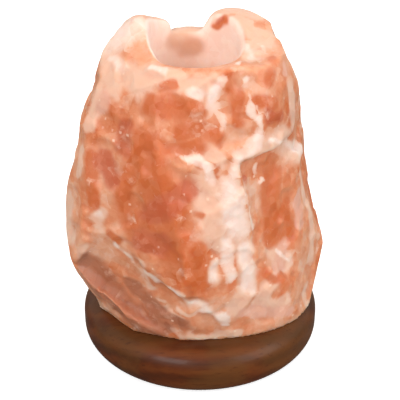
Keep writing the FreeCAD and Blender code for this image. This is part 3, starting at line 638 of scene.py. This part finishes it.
def line_side(points: Values, line: Line, side: Point = (0.0, 0.0, 1.0)) -> tuple[Values, Values]:
    """How far points lie from a line of straight runs, and how far towards one side of it.

    Args:
        points: rows of X, Y and Z.
        line: the line's own points, at least two, none of them twice in a row.
        side: the direction of the side.

    Returns:
        One distance for each row, and one offset towards the side.
    """
    nearest = np.full(len(points), np.inf)
    over = np.zeros(len(points))
    for start, end in itertools.pairwise(np.array(line, float)):
        run = end - start
        share = np.clip((points - start) @ run / (run @ run), 0.0, 1.0)
        offset = points - start - share[:, None] * run
        away = np.linalg.norm(offset, axis=1)
        closer = away < nearest
        nearest = np.where(closer, away, nearest)
        over = np.where(closer, offset @ np.array(side), over)
    return nearest, over


# ---------------------------------------------------------------- salt block

Mark = tuple[float, Line]

# the marks of each zone, of the crystal and of painted shade: half width, and the line on the rock that it
# follows, in millimetres
MARKS: dict[Zone, tuple[Mark, ...]] = {
    Zone.PALE: (
        # pale salt: the left lump, and the left flank down to the foot, painted paler too as light shining
        # through the thin edge
        (7.0, ((-38, -4, 174), (-42, -11, 168), (-43, -17, 162), (-39, -25, 157))),
        (4.2, ((-47, -23, 153), (-49, -25, 145), (-52, -26, 135))),
        (2.4, ((-56, -26, 121), (-58, -26, 111))),
        (4.4, ((-64, -22, 93), (-66, -21, 83), (-64, -28, 74))),
        (6.5, ((-40, -20, 162), (-31, -27, 160), (-26, -34, 157))),
        # the lip before the well, painted paler too where its shoulder faces the light from above, the right
        # peak and the flank below it
        (5.4, ((-28, -28, 163), (-18, -35, 163), (-6, -38, 163), (6, -37, 164))),
        (5.7, ((18, 4, 175), (25, -1, 172), (31, -6, 169))),
        (3.2, ((22, -8, 169), (22, -19, 166))),
        (2.3, ((41, -20, 152), (44, -19, 136))),
        (7.0, ((-30, 2, 178), (-25, 10, 172), (-12, 17, 166), (2, 18, 168), (14, 17, 176), (26, 12, 174))),
        # the ledge and the right edge down to the foot, painted paler too as light shining through the thin
        # edge
        (6.5, ((29, -38, 128), (38, -29, 129), (47, -12, 114))),
        (3.6, ((52, -7, 97), (55, -7, 82), (58, -8, 67), (57, -12, 55))),
        # beside the milky band, and low on the front and the right
        (7.0, ((5, -45, 128), (3, -48, 118), (3, -50, 108), (6, -52, 96), (11, -51, 84))),
        (6.0, ((19, -46, 82), (23, -46, 69), (23, -47, 56), (18, -48, 48))),
        (3.6, ((7, -53, 75), (5, -54, 69))),
        (4.5, ((35, -36, 73), (44, -30, 62), (33, -42, 55), (29, -45, 44), (42, -37, 43))),
        (2.9, ((-30, -49, 74), (-25, -47, 58))),
        (3.4, ((-17, -49, 47), (-9, -52, 43))),
        (2.5, ((-25, -46, 34), (0, -49, 31), (20, -46, 30))),
        (3.8, ((-47, -41, 97), (-49, -41, 89))),
        # the flanks of the rock, painted paler too as light shining through their thin edges, and the vein low
        # on the left
        (4.0, ((-57, -38, 74), (-57, -33, 64), (-57, -34, 58))),
        (4.4, ((42, -18, 154), (43, -17, 145), (44, -18, 137), (45, -17, 129))),
        (3.2, ((55, -19, 40), (56, -20, 30))),
        (2.2, ((-41, -44, 79), (-35, -46, 74), (-26, -48, 67), (-18, -54, 63), (-9, -57, 60),
               (1, -54, 51), (9, -50, 41))),
        (1.6, ((-21, -48, 51), (-12, -52, 51), (-1, -53, 46))),
        # the back and the sides, which the photograph doesn't show
        (11.0, ((12, 34, 150), (8, 40, 138), (15, 47, 120))),
        (12.0, ((-23, 44, 60), (-17, 46, 45), (-7, 47, 38))),
        (8.0, ((-40, 23, 130), (-49, 18, 112))),
        (9.0, ((54, 31, 60), (49, 38, 45))),
        (8.0, ((49, 18, 135), (43, 29, 125))),
    ),
    Zone.MILKY: (
        # milky salt: the left lump and its shoulder
        (6.5, ((-28, -7, 179), (-34, -7, 176), (-40, -10, 170))),
        (2.8, ((-42, -16, 164), (-36, -22, 162))),
        (2.2, ((-23, -29, 165), (-18, -33, 165))),
        # the spike above the amber, with chips beside it
        (3.0, ((10, -36, 162), (6, -37, 157), (5, -38, 151), (9, -40, 142))),
        (2.2, ((-5, -39, 159), (-1, -39, 157))),
        # the mass below the column and the ledge
        (3.2, ((22, -41, 127), (18, -42, 124), (15, -45, 118))),
        (3.2, ((26, -38, 136), (25, -39, 131), (22, -41, 126))),
        (1.6, ((28, -38, 132), (35, -33, 131), (42, -16, 121))),
        (3.0, ((42, -16, 121), (49, -9, 114), (51, -5, 114))),
        (2.2, ((-9, -48, 130), (-2, -47, 128), (3, -47, 121), (6, -48, 116))),
        # the band down the edge between the two front faces
        (7.0, ((14, -46, 111), (16, -47, 102), (17, -47, 92))),
        (3.9, ((20, -46, 81), (24, -46, 69), (24, -47, 57))),
        (0.9, ((24, -40, 100), (25, -43, 87))),
        (3.4, ((12, -50, 85), (13, -51, 77), (14, -51, 67))),
        # a blob, and the veins that run down to the right
        (2.3, ((7, -53, 75), (5, -54, 69))),
        (1.9, ((-48, -41, 96), (-47, -42, 91))),
        (1.3, ((-41, -44, 79), (-35, -46, 74), (-26, -48, 67), (-18, -54, 63), (-9, -57, 60),
               (1, -54, 51), (9, -50, 41))),
        (2.0, ((-35, -46, 74), (-30, -47, 69), (-25, -49, 66))),
        (2.2, ((2, -53, 48), (8, -51, 42), (13, -49, 42))),
        # streaks and a crack on the right, the right peak, small chips
        (1.6, ((27, -32, 117), (30, -31, 109), (27, -36, 103))),
        (1.5, ((18, -24, 166), (21, -34, 159), (23, -35, 150), (27, -37, 138))),
        (1.4, ((29, -10, 168), (29, -15, 166))),
        (1.9, ((21, -9, 169), (22, -17, 166))),
        (1.1, ((-39, -35, 137), (-37, -37, 135))),
        (1.2, ((-42, -39, 117), (-40, -42, 113))),
        (1.5, ((13, -49, 38), (6, -51, 41))),
        (1.2, ((38, -33, 72), (45, -29, 62))),
        # the back and the sides, which the photograph doesn't show
        (4.0, ((18, 34, 150), (12, 43, 132), (18, 49, 112), (5, 49, 96), (-2, 49, 78))),
        (2.4, ((-2, 49, 78), (-12, 48, 66), (-22, 44, 60))),
        (2.4, ((-30, 25, 140), (-40, 25, 120), (-40, 27, 104))),
        (5.0, ((-8, 48, 42), (-2, 48, 38))),
        (3.0, ((52, 15, 120), (54, 26, 104), (57, 25, 88))),
    ),
    Zone.AMBER: (
        # amber salt: the middle of the front, below the lip
        (4.9, ((-23, -40, 151), (-12, -42, 152), (-3, -41, 149))),
        (4.1, ((-8, -44, 141), (2, -42, 142), (7, -41, 136))),
        (2.7, ((-19, -38, 159), (-13, -38, 161))),
        (3.2, ((14, -34, 164), (16, -35, 153), (18, -37, 143))),
        (4.5, ((-27, -43, 136), (-16, -49, 133), (0, -44, 133))),
        # the great patch, the patch left of it and the low ones
        (8.3, ((-23, -50, 123), (-16, -53, 112), (-11, -55, 101), (-15, -55, 86))),
        (5.6, ((-33, -44, 120), (-35, -46, 108), (-34, -47, 95))),
        (5.4, ((-2, -56, 85), (-6, -58, 74), (-1, -56, 64))),
        (4.6, ((-51, -32, 120), (-52, -35, 109), (-51, -38, 102))),
        # the right peak, the column and the right face
        (2.8, ((8, 13, 170), (12, 10, 174))),
        (3.2, ((32, -19, 166), (32, -28, 160))),
        (3.6, ((28, -34, 151), (34, -31, 148))),
        (6.3, ((35, -27, 109), (34, -31, 95), (36, -33, 80))),
        (3.5, ((43, -23, 93), (46, -25, 74))),
        (2.8, ((0, -47, 124), (6, -46, 121))),
        (2.6, ((-4, -52, 107), (-1, -52, 102))),
        (2.4, ((5, -47, 118), (8, -47, 116))),
        (2.6, ((-43, -43, 84), (-38, -45, 81))),
        (3.0, ((32, -41, 63), (40, -36, 55))),
        # the back and the sides, which the photograph doesn't show
        (12.0, ((-16, 40, 120), (-21, 40, 98), (-28, 39, 80))),
        (9.0, ((34, 43, 92), (31, 46, 70))),
        (8.0, ((-58, 12, 90), (-60, 8, 70))),
        (7.0, ((55, 8, 90), (62, 13, 66))),
    ),
    Zone.RUST: (
        # redder salt
        (5.5, ((-45, -36, 122), (-42, -40, 114))),
        (4.5, ((-34, -37, 140), (-36, -39, 130))),
        (6.5, ((-23, -51, 102), (-13, -54, 108), (-6, -52, 112))),
        (6.0, ((-28, -49, 86), (-19, -53, 86))),
        (3.2, ((31, -34, 143), (37, -29, 140))),
        (1.6, ((22, -37, 115), (20, -44, 109))),
        (1.4, ((8, 13, 172), (11, 11, 174))),
        # the back and the sides, which the photograph doesn't show
        (6.0, ((-21, 39, 106), (-25, 39, 92))),
    ),
    Zone.ROSE: (
        # pinker salt on the left and the right, and along the foot, its edges painted paler too as light
        # shining through them
        (3.7, ((-44, -26, 151), (-46, -27, 144))),
        (4.0, ((41, -30, 72), (40, -35, 60))),
        (3.5, ((50, -15, 91), (51, -18, 78))),
        (3.5, ((23, -47, 44), (46, -34, 34))),
        (2.3, ((35, -13, 166), (39, -20, 160))),
        # the back and the sides, which the photograph doesn't show
        (9.0, ((9, 51, 60), (24, 50, 48))),
    ),
    Zone.CLAY: (
        # painted shade on the down-facing facets low on the left
        (8.5, ((-54, -34, 62), (-46, -36, 50), (-36, -40, 38), (-20, -44, 33))),
        (5.0, ((-34, -43, 56), (-24, -46, 45), (-8, -50, 39))),
    ),
    Zone.WELL_SHADE: (
        # painted shade on the well's far wall
        (5.0, ((-13, 13, 164), (-8, 15, 160), (-2, 16, 158))),
    ),
}


@dataclass(frozen=True)
class Step:
    """A broken edge: the side that lies lower, how much lower, how far that reaches, and the edge's line."""

    side: Point
    depth: float
    reach: float
    line: Line


STEPS = (
    # the front lies deeper than the lip and the milky mass
    Step((0.0, 0.0, -1.0), 1.1, 7.0, ((-27, -26, 165), (-18, -33, 165), (-10, -37, 164), (-1, -36, 166),
                                      (6, -32, 166), (12, -34, 166), (18, -33, 163))),
    Step((-0.6, 0.0, -0.8), 1.3, 9.0, ((-8, -49, 124), (0, -49, 116), (7, -49, 110))),
    Step((0.0, 0.0, 1.0), 0.9, 6.0, ((-11, -48, 133), (-2, -47, 128), (7, -45, 126), (11, -43, 131),
                                     (21, -40, 133), (28, -37, 136))),
)


@dataclass
class SaltBlock:
    """The rock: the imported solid, carved into a broken and rubbed surface."""

    source: Piece
    # the well's X, Y, radius and floor
    well: tuple[float, float, float, float]
    voxel: float = 0.9
    seed: int = 7
    # the bulb's bore and the wood's top, and how far from each the carving begins and is at its full depth
    bore_radius: float = 23.0
    bore_top: float = 128.0
    bore_span: Span = (0.8, 2.5)
    foot_height: float = 27.0
    foot_span: Span = (0.2, 3.0)
    # how far past the bored wall the well's look fades, and where its rim is rubbed round: how wide, and Z
    well_span: Span = (0.5, 3.0)
    well_below_floor: float = 2.0
    rim_span: Span = (1.5, 5.0)
    rim_rise: Span = (160.0, 164.0)
    soften_pull: float = 0.8
    soften_rounds: int = 9
    rim_rounds: int = 22
    last_rounds: int = 2
    # the broken corner of the foot: its direction and lean in degrees, and how far from the axis it stands
    foot_cut_angle: float = -138.0
    foot_cut_lean: float = 27.0
    foot_cut_reach: float = 51.5
    foot_cut_waves: tuple[Span, ...] = ((9.0, 0.7),)
    # the broken edges: the spacing and height of their waves, and how wide the break is
    lip_waves: tuple[Span, ...] = ((4.0, 1.3), (1.8, 0.6))
    lip_span: Span = (-0.3, 1.1)
    # the chips: how many, how wide, how tilted, how deep as a share of their width, and how deep at most
    chips: int = 600
    milky_chips: int = 120
    chip_spread: float = 11.0
    chip_fall: float = 1.5
    chip_size: Span = (1.8, 3.4)
    chip_tilt: float = 0.14
    milky_tilt: float = 0.3
    chip_bite: Span = (0.01, 0.05)
    chip_limit: float = 1.3
    # the swellings and pits: spacing and height or depth
    swellings: tuple[Span, ...] = ((14.0, 0.25), (7.0, 0.16), (3.5, 0.1), (1.9, 0.08))
    pit_waves: tuple[Span, ...] = ((4.2, 1.0),)
    pit_span: Span = (0.55, 0.9)
    pit_depth: float = 0.4
    # the zones: where they fade, as a share of a mark's half width, and the waves that bend their edges
    zone_span: Span = (0.25, 1.7)
    zone_waves: tuple[Span, ...] = ((9.0, 2.2), (4.0, 1.1))
    finish: RockSalt = field(default_factory=RockSalt)
    mesh: Mesh = field(init=False)

    def build(self) -> Piece:
        """Carves the rock and dresses it.

        Returns:
            The rock's object, which stands for the salt_block node.
        """
        mesh = self.mesh = self.even_mesh()
        low, high = (np.array(corner) * 1000.0 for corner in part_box("salt_block"))
        start = points_of(mesh)
        rubbed, broken = self.free_share(start), self.free_share(start) * (1.0 - self.bored_share(start))
        self.soften(rubbed, self.soften_rounds)
        self.soften(self.rim_share(start), self.rim_rounds)
        self.undercut()
        self.step(broken)
        self.chip(broken)
        self.roughen(broken)
        self.soften(rubbed, self.last_rounds)
        set_points(mesh, np.clip(points_of(mesh), low, high))
        self.mark_zones()
        mesh.polygons.foreach_set("use_smooth", np.ones(len(mesh.polygons), bool))
        rock = bpy.data.objects.new("rubbed_salt_block", mesh)
        bpy.context.scene.collection.objects.link(rock)
        mesh.materials.clear()
        mesh.materials.append(self.finish.material())
        moved = np.linalg.norm(points_of(mesh) - start, axis=1)
        LOG.info("salt block: cut %.2f mm on average, %.2f mm at most", moved.mean(), moved.max())
        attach(rock, "root")
        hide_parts("salt_block")
        LOG.info("salt block: %d faces", len(mesh.polygons))
        return rock

    def even_mesh(self) -> Mesh:
        """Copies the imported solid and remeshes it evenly.

        Returns:
            A mesh whose faces are all about a voxel wide.
        """
        copy = bpy.data.objects.new("rock_start", self.source.data.copy())
        bpy.context.scene.collection.objects.link(copy)
        remesh = copy.modifiers.new("even", "REMESH")
        remesh.mode = "VOXEL"
        remesh.voxel_size = mm(self.voxel)
        remesh.use_smooth_shade = True
        bpy.context.view_layer.update()
        shaped = copy.evaluated_get(bpy.context.evaluated_depsgraph_get())
        mesh = bpy.data.meshes.new_from_object(shaped)
        bpy.data.objects.remove(copy)
        return mesh

    def free_share(self, points: Values) -> Values:
        """How freely each point may move: 0 on the bulb's bore and the foot, 1 on the open rock.

        Args:
            points: the rock's points, in millimetres.

        Returns:
            A share for each point.
        """
        from_axis = np.hypot(points[:, 0], points[:, 1])
        from_bore = np.maximum(from_axis - self.bore_radius, points[:, 2] - self.bore_top)
        free = smoothstep(from_bore, *self.bore_span)
        return free * smoothstep(points[:, 2] - self.foot_height, *self.foot_span)

    def past_well(self, points: Values) -> Values:
        """How far outside the well's bored wall each point lies, level with it."""
        well_x, well_y, well_radius, _ = self.well
        return np.hypot(points[:, 0] - well_x, points[:, 1] - well_y) - well_radius

    def bored_share(self, points: Values) -> Values:
        """How much each point belongs to the well's wall and floor: 1 there, 0 on the open rock."""
        wall = 1.0 - smoothstep(self.past_well(points), *self.well_span)
        return np.where(points[:, 2] > self.well[3] - self.well_below_floor, wall, 0.0)

    def rim_share(self, points: Values) -> Values:
        """How much each point belongs to the well's rim, which is rubbed rounder than the rest."""
        near = 1.0 - smoothstep(np.abs(self.past_well(points)), *self.rim_span)
        return near * smoothstep(points[:, 2], *self.rim_rise)

    def waves(self, points: Values, layers: tuple[Span, ...], first: int, apart: int = 1) -> Values:
        """Adds up noises of given spacings and heights; first and apart give the numbers that pick them."""
        return sum(height * lattice_noise(points, spacing, self.seed + first + apart * layer)
                   for layer, (spacing, height) in enumerate(layers))

    def soften(self, free: Values, rounds: int) -> None:
        """Draws each point towards its neighbours, which rubs the edges off.

        Args:
            free: how freely each point may move.
            rounds: how many times it is done.
        """
        points = points_of(self.mesh)
        first, second = edges_of(self.mesh).T
        count = np.bincount(first, minlength=len(points)) + np.bincount(second, minlength=len(points))
        for _ in range(rounds):
            total = np.empty_like(points)
            for axis in range(3):
                total[:, axis] = np.bincount(first, points[second, axis], len(points))
                total[:, axis] += np.bincount(second, points[first, axis], len(points))
            points += (total / count[:, None] - points) * (self.soften_pull * free[:, None])
        set_points(self.mesh, points)

    def undercut(self) -> None:
        """Breaks off the front left corner of the foot, level by level, so that the rock still sits flat."""
        points = points_of(self.mesh)
        angle = math.radians(self.foot_cut_angle)
        outward = np.array((math.cos(angle), math.sin(angle), 0.0))
        lean = math.tan(math.radians(self.foot_cut_lean))
        reach = self.foot_cut_reach + (points[:, 2] - self.foot_height) * lean
        reach += self.waves(points, self.foot_cut_waves, 60)
        beyond = np.maximum(points @ outward - reach, 0.0)
        set_points(self.mesh, points - beyond[:, None] * outward)

    def step(self, free: Values) -> None:
        """Sets the rock back on the lower side of each broken edge.

        Args:
            free: how freely each point may move.
        """
        points, normals = points_of(self.mesh), normals_of(self.mesh)
        ragged = self.waves(points, self.lip_waves, 50)
        front = normals @ np.array((0.0, -1.0, 0.0)) > -0.2
        for edge in STEPS:
            away, over = line_side(points, edge.line, edge.side)
            lower = smoothstep(over + ragged, *self.lip_span)
            lower *= 1.0 - smoothstep(away, edge.reach * 0.25, edge.reach)
            points -= (edge.depth * lower * front * free)[:, None] * normals
        set_points(self.mesh, points)

    def chip(self, free: Values) -> None:
        """Breaks flat chips off the rock, large ones first.

        Args:
            free: how freely each point may move.
        """
        random = np.random.default_rng(self.seed)
        points, normals = points_of(self.mesh), normals_of(self.mesh)
        start = points.copy()
        milky = self.zone_share(points, Zone.MILKY)
        anywhere = np.flatnonzero(free > 0.5)
        brittle = np.flatnonzero((free > 0.5) & (milky > 0.25))
        for number in range(self.chips + self.milky_chips):
            small = number >= self.chips
            spot = random.choice(brittle if small else anywhere)
            size = self.chip_spread * (1.0 - min(number / self.chips, 1.0)) ** self.chip_fall
            size += random.uniform(*self.chip_size)
            facing = normals[spot] + random.normal(0.0, self.milky_tilt if small else self.chip_tilt, 3)
            facing /= np.linalg.norm(facing)
            away = np.linalg.norm(points - points[spot], axis=1)
            near = np.flatnonzero(away < size)
            beyond = (points[near] - points[spot]) @ facing + size * random.uniform(*self.chip_bite)
            left = 1.0 - np.linalg.norm(points[near] - start[near], axis=1) / self.chip_limit
            cut = np.maximum(beyond, 0.0) * smoothstep(size - away[near], 0.0, size * 0.1)
            cut = np.minimum(cut, np.maximum(left, 0.0) * self.chip_limit) * free[near]
            points[near] -= cut[:, None] * facing
        set_points(self.mesh, points)

    def roughen(self, free: Values) -> None:
        """Adds swellings, pits and grain along the normals.

        Args:
            free: how freely each point may move.
        """
        points, normals = points_of(self.mesh), normals_of(self.mesh)
        height = self.waves(points, self.swellings, 0)
        height -= self.pit_depth * smoothstep(self.waves(points, self.pit_waves, 11), *self.pit_span)
        points += (height * free)[:, None] * normals
        set_points(self.mesh, points)

    def zone_share(self, points: Values, zone: Zone) -> Values:
        """How much of a zone each point has, from the marks laid along the rock; some zones are painted shade.

        Args:
            points: rows of X, Y and Z, in millimetres.
            zone: which zone.

        Returns:
            One value from 0 to 1 for each row.
        """
        value = np.zeros(len(points))
        for half_width, line in MARKS[zone]:
            away, _ = line_side(points, line)
            full, gone = (half_width * share for share in self.zone_span)
            value = np.maximum(value, 1.0 - smoothstep(away, full, gone))
        return value

    def mark_zones(self) -> None:
        """Keeps, at each point, how much of each zone it has: the crystal's zones, the painted shades and the
        well.
        """
        points = points_of(self.mesh)
        bend = [self.waves(points, self.zone_waves, 20 + axis, 10) for axis in range(3)]
        bent = points + np.stack(bend, axis=1)
        for zone in Zone:
            value = self.bored_share(points) if zone is Zone.BORED else self.zone_share(bent, zone)
            layer = self.mesh.attributes.new(zone.value, "FLOAT", "POINT")
            layer.data.foreach_set("value", value.astype(np.float32))


# ---------------------------------------------------------------- the other pieces

@dataclass
class PlainPieces:
    """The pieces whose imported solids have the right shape: they get their finishes and keep their meshes."""

    nodes: dict[str, Piece]

    def finishes(self) -> dict[Finish, tuple[str, ...]]:
        """Chooses the finishes.

        Returns:
            Each finish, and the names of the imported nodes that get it.
        """
        zinc = WorkedMetal()
        brass = WorkedMetal("Brass, pressed", "C9A255", 0.3, 1.0, "9C7434")
        return {
            LacqueredWood(): ("wood_base",),
            MouldedBlack("Rubber, moulded", "171717", 0.75, 0.35, 0.03): tuple(
                f"rubber_foot_{k}" for k in range(1, 5)),
            MouldedBlack("Black polyamide, moulded", "1B1B1C", 0.5): ("cord_bush",),
            MouldedBlack(): ("holder_cup", "holder_shell", "clip_nut", "cord_grip"),
            MouldedBlack("Black glass, moulded", "0E0E12", 0.15, 2.0, 0.01): ("bulb_insulator",),
            zinc: ("base_screws", "foot_screws", "cord_grip_screws", "terminal_screws"),
            WorkedMetal("Spring steel, rolled", "A8AAAE", 0.26, 1.0, "7D8086", 0.3, (0.1, 1.0, 1.0)): (
                "spring_clip",),
            brass: ("screw_shell", "centre_contact", "contact_rivets", "terminal_block_1",
                    "terminal_block_2"),
            WorkedMetal("Solder, melted", "A3A5A6", 0.42, 1.0, "7C7E80", 1.2, (1.0, 1.0, 1.0)): (
                "bulb_contact",),
            WorkedMetal("Aluminium, rolled thread", "CDCDCB", 0.28, 1.0, "A7A7A5"): ("bulb_cap",),
            WorkedMetal("Nickel wire, drawn", "9B9690", 0.35, 1.0, "77726D", 0.1): (
                "bulb_lead_1", "bulb_lead_2", "bulb_supports"),
            FiredCeramic(): ("contact_insert",),
            LampGlass(): ("bulb_glass",),
            LampGlass("Lead glass, pressed", "EEF3F0", 0.05, 2.5): ("bulb_stem",),
            WorkedMetal("Tungsten, coiled", "4A4744", 0.45, 1.0, "35332F", 0.15): ("bulb_filament",),
        }

    def dress(self) -> None:
        """Gives each node its finish, one material for all that share it."""
        for finish, names in self.finishes().items():
            material = finish.material()
            for name in names:
                mesh = self.nodes[name].data
                mesh.materials.clear()
                mesh.materials.append(material)
                LOG.info("%s: %s", name, finish.name)


# ---------------------------------------------------------------- studio

@dataclass
class Studio:
    """A pale table and soft lamps, with the camera where the photograph was taken."""

    camera_back: float = 470.3
    camera_height: float = 342.2
    aim_height: float = 80.7
    lens: float = 94.09
    sensor: float = 36.0
    floor_half_width: float = 3.0
    floor_colour: str = "F4F4F4"
    floor_unseen: str = "807D7A"
    world_colour: str = "FFFFFF"
    world_strength: float = 0.64
    floor_glow: float = 0.6
    # each lamp's name, place and size in metres, power in watts and colour
    lamps: tuple[tuple[str, Point, Span, float, str], ...] = (
        ("key_softbox", (-0.5, -0.95, 0.7), (0.6, 0.5), 7.2, "FFFFFF"),
        ("fill_softbox", (0.9, -0.6, 0.55), (0.8, 0.8), 6.6, "FFFFFF"),
        ("back_softbox", (0.2, 0.9, 0.9), (0.9, 0.5), 1.8, "FFFFFF"),
        ("ceiling_lamp", (-0.12, 0.05, 1.3), (0.3, 0.05), 1.6, "FFC98A"))

    def build(self) -> None:
        """Makes the camera, the floor, the world and the lamps."""
        self.camera()
        self.floor()
        self.world()
        for lamp in self.lamps:
            self.soft_lamp(*lamp)

    def aim(self, thing: Piece, place: Point) -> None:
        """Puts a camera or lamp in its place, in metres, turned to the middle of the salt lamp.

        Args:
            thing: the camera or the lamp.
            place: where it stands or hangs.
        """
        thing.location = place
        look = Vector((0.0, 0.0, mm(self.aim_height))) - thing.location
        thing.rotation_euler = look.to_track_quat("-Z", "Y").to_euler()
        bpy.context.scene.collection.objects.link(thing)

    def camera(self) -> None:
        """Places the camera: in front, above, looking down at the middle of the lamp."""
        data = bpy.data.cameras.new("front_camera")
        data.lens = self.lens
        data.sensor_width = self.sensor
        camera = bpy.data.objects.new("front_camera", data)
        self.aim(camera, (0.0, -mm(self.camera_back), mm(self.camera_height)))
        bpy.context.scene.camera = camera

    def floor(self) -> None:
        """Lays the pale table top, which the camera sees as white but for the lamp's shadow."""
        half = self.floor_half_width
        mesh = bpy.data.meshes.new("table_top")
        corners = [(-half, -half, 0), (half, -half, 0), (half, half, 0), (-half, half, 0)]
        mesh.from_pydata(corners, [], [(0, 1, 2, 3)])
        floor = bpy.data.objects.new("table_top", mesh)
        bpy.context.scene.collection.objects.link(floor)
        material = bpy.data.materials.new("Table, matt white")
        material.use_nodes = True
        tree = material.node_tree
        tree.nodes.clear()
        matt = add_node(tree, "BsdfDiffuse", {"Color": linear(self.floor_colour)})
        dim = add_node(tree, "BsdfDiffuse", {"Color": linear(self.floor_unseen)})
        glow = add_node(tree, "Emission", {"Color": (1.0, 1.0, 1.0, 1.0), "Strength": self.floor_glow})
        seen = add_node(tree, "LightPath").outputs["Is Camera Ray"]
        lit = add_node(tree, "AddShader", {0: matt.outputs[0], 1: glow.outputs[0]})
        both = add_node(tree, "MixShader", {0: seen, 1: dim.outputs[0], 2: lit.outputs[0]})
        add_node(tree, "OutputMaterial", {"Surface": both.outputs[0]})
        mesh.materials.append(material)

    def world(self) -> None:
        """Sets the even light of the room, and its white where the camera sees it."""
        world = bpy.data.worlds.new("white_room")
        world.use_nodes = True
        tree = world.node_tree
        tree.nodes.clear()
        light = add_node(tree, "Background", {"Color": linear(self.world_colour),
                                              "Strength": self.world_strength})
        white = add_node(tree, "Background", {"Color": (1.0, 1.0, 1.0, 1.0), "Strength": 1.0})
        path = add_node(tree, "LightPath")
        seen = add_node(tree, "Math", {0: path.outputs["Is Camera Ray"],
                                       1: path.outputs["Is Transmission Ray"]}, operation="MAXIMUM")
        both = add_node(tree, "MixShader", {0: seen.outputs[0], 1: light.outputs[0], 2: white.outputs[0]})
        add_node(tree, "OutputWorld", {"Surface": both.outputs[0]})
        bpy.context.scene.world = world

    def soft_lamp(self, name: str, place: Point, size: Span, power: float, colour: str) -> None:
        """Hangs a softbox that points at the middle of the salt lamp.

        Args:
            name: what it is called.
            place: where it hangs, in metres.
            size: its width and height, in metres.
            power: its power in watts.
            colour: the colour of its light, as sRGB hex digits.
        """
        data = bpy.data.lights.new(name, "AREA")
        data.shape = "RECTANGLE"
        data.size, data.size_y = size
        data.energy = power
        data.color = linear(colour)[:3]
        self.aim(bpy.data.objects.new(name, data), place)


def main() -> None:
    """Builds the lamp's looks."""
    logging.basicConfig(level=logging.INFO, format="%(name)s: %(message)s")
    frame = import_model()
    bpy.context.scene.view_settings.view_transform = "Standard"
    nodes = frame["nodes"]
    well = next(mount for mount in frame["record"]["mounts"] if mount["name"] == "tealight_well")
    place = [1000.0 * value for value in well["pos_m"]]
    floor = place[2] - well["dims"]["length_mm"] / 2.0
    SaltBlock(nodes["salt_block"], (place[0], place[1], well["dims"]["r_mm"], floor)).build()
    PlainPieces(nodes).dress()
    Studio().build()


if __name__ == "__main__":
    main()
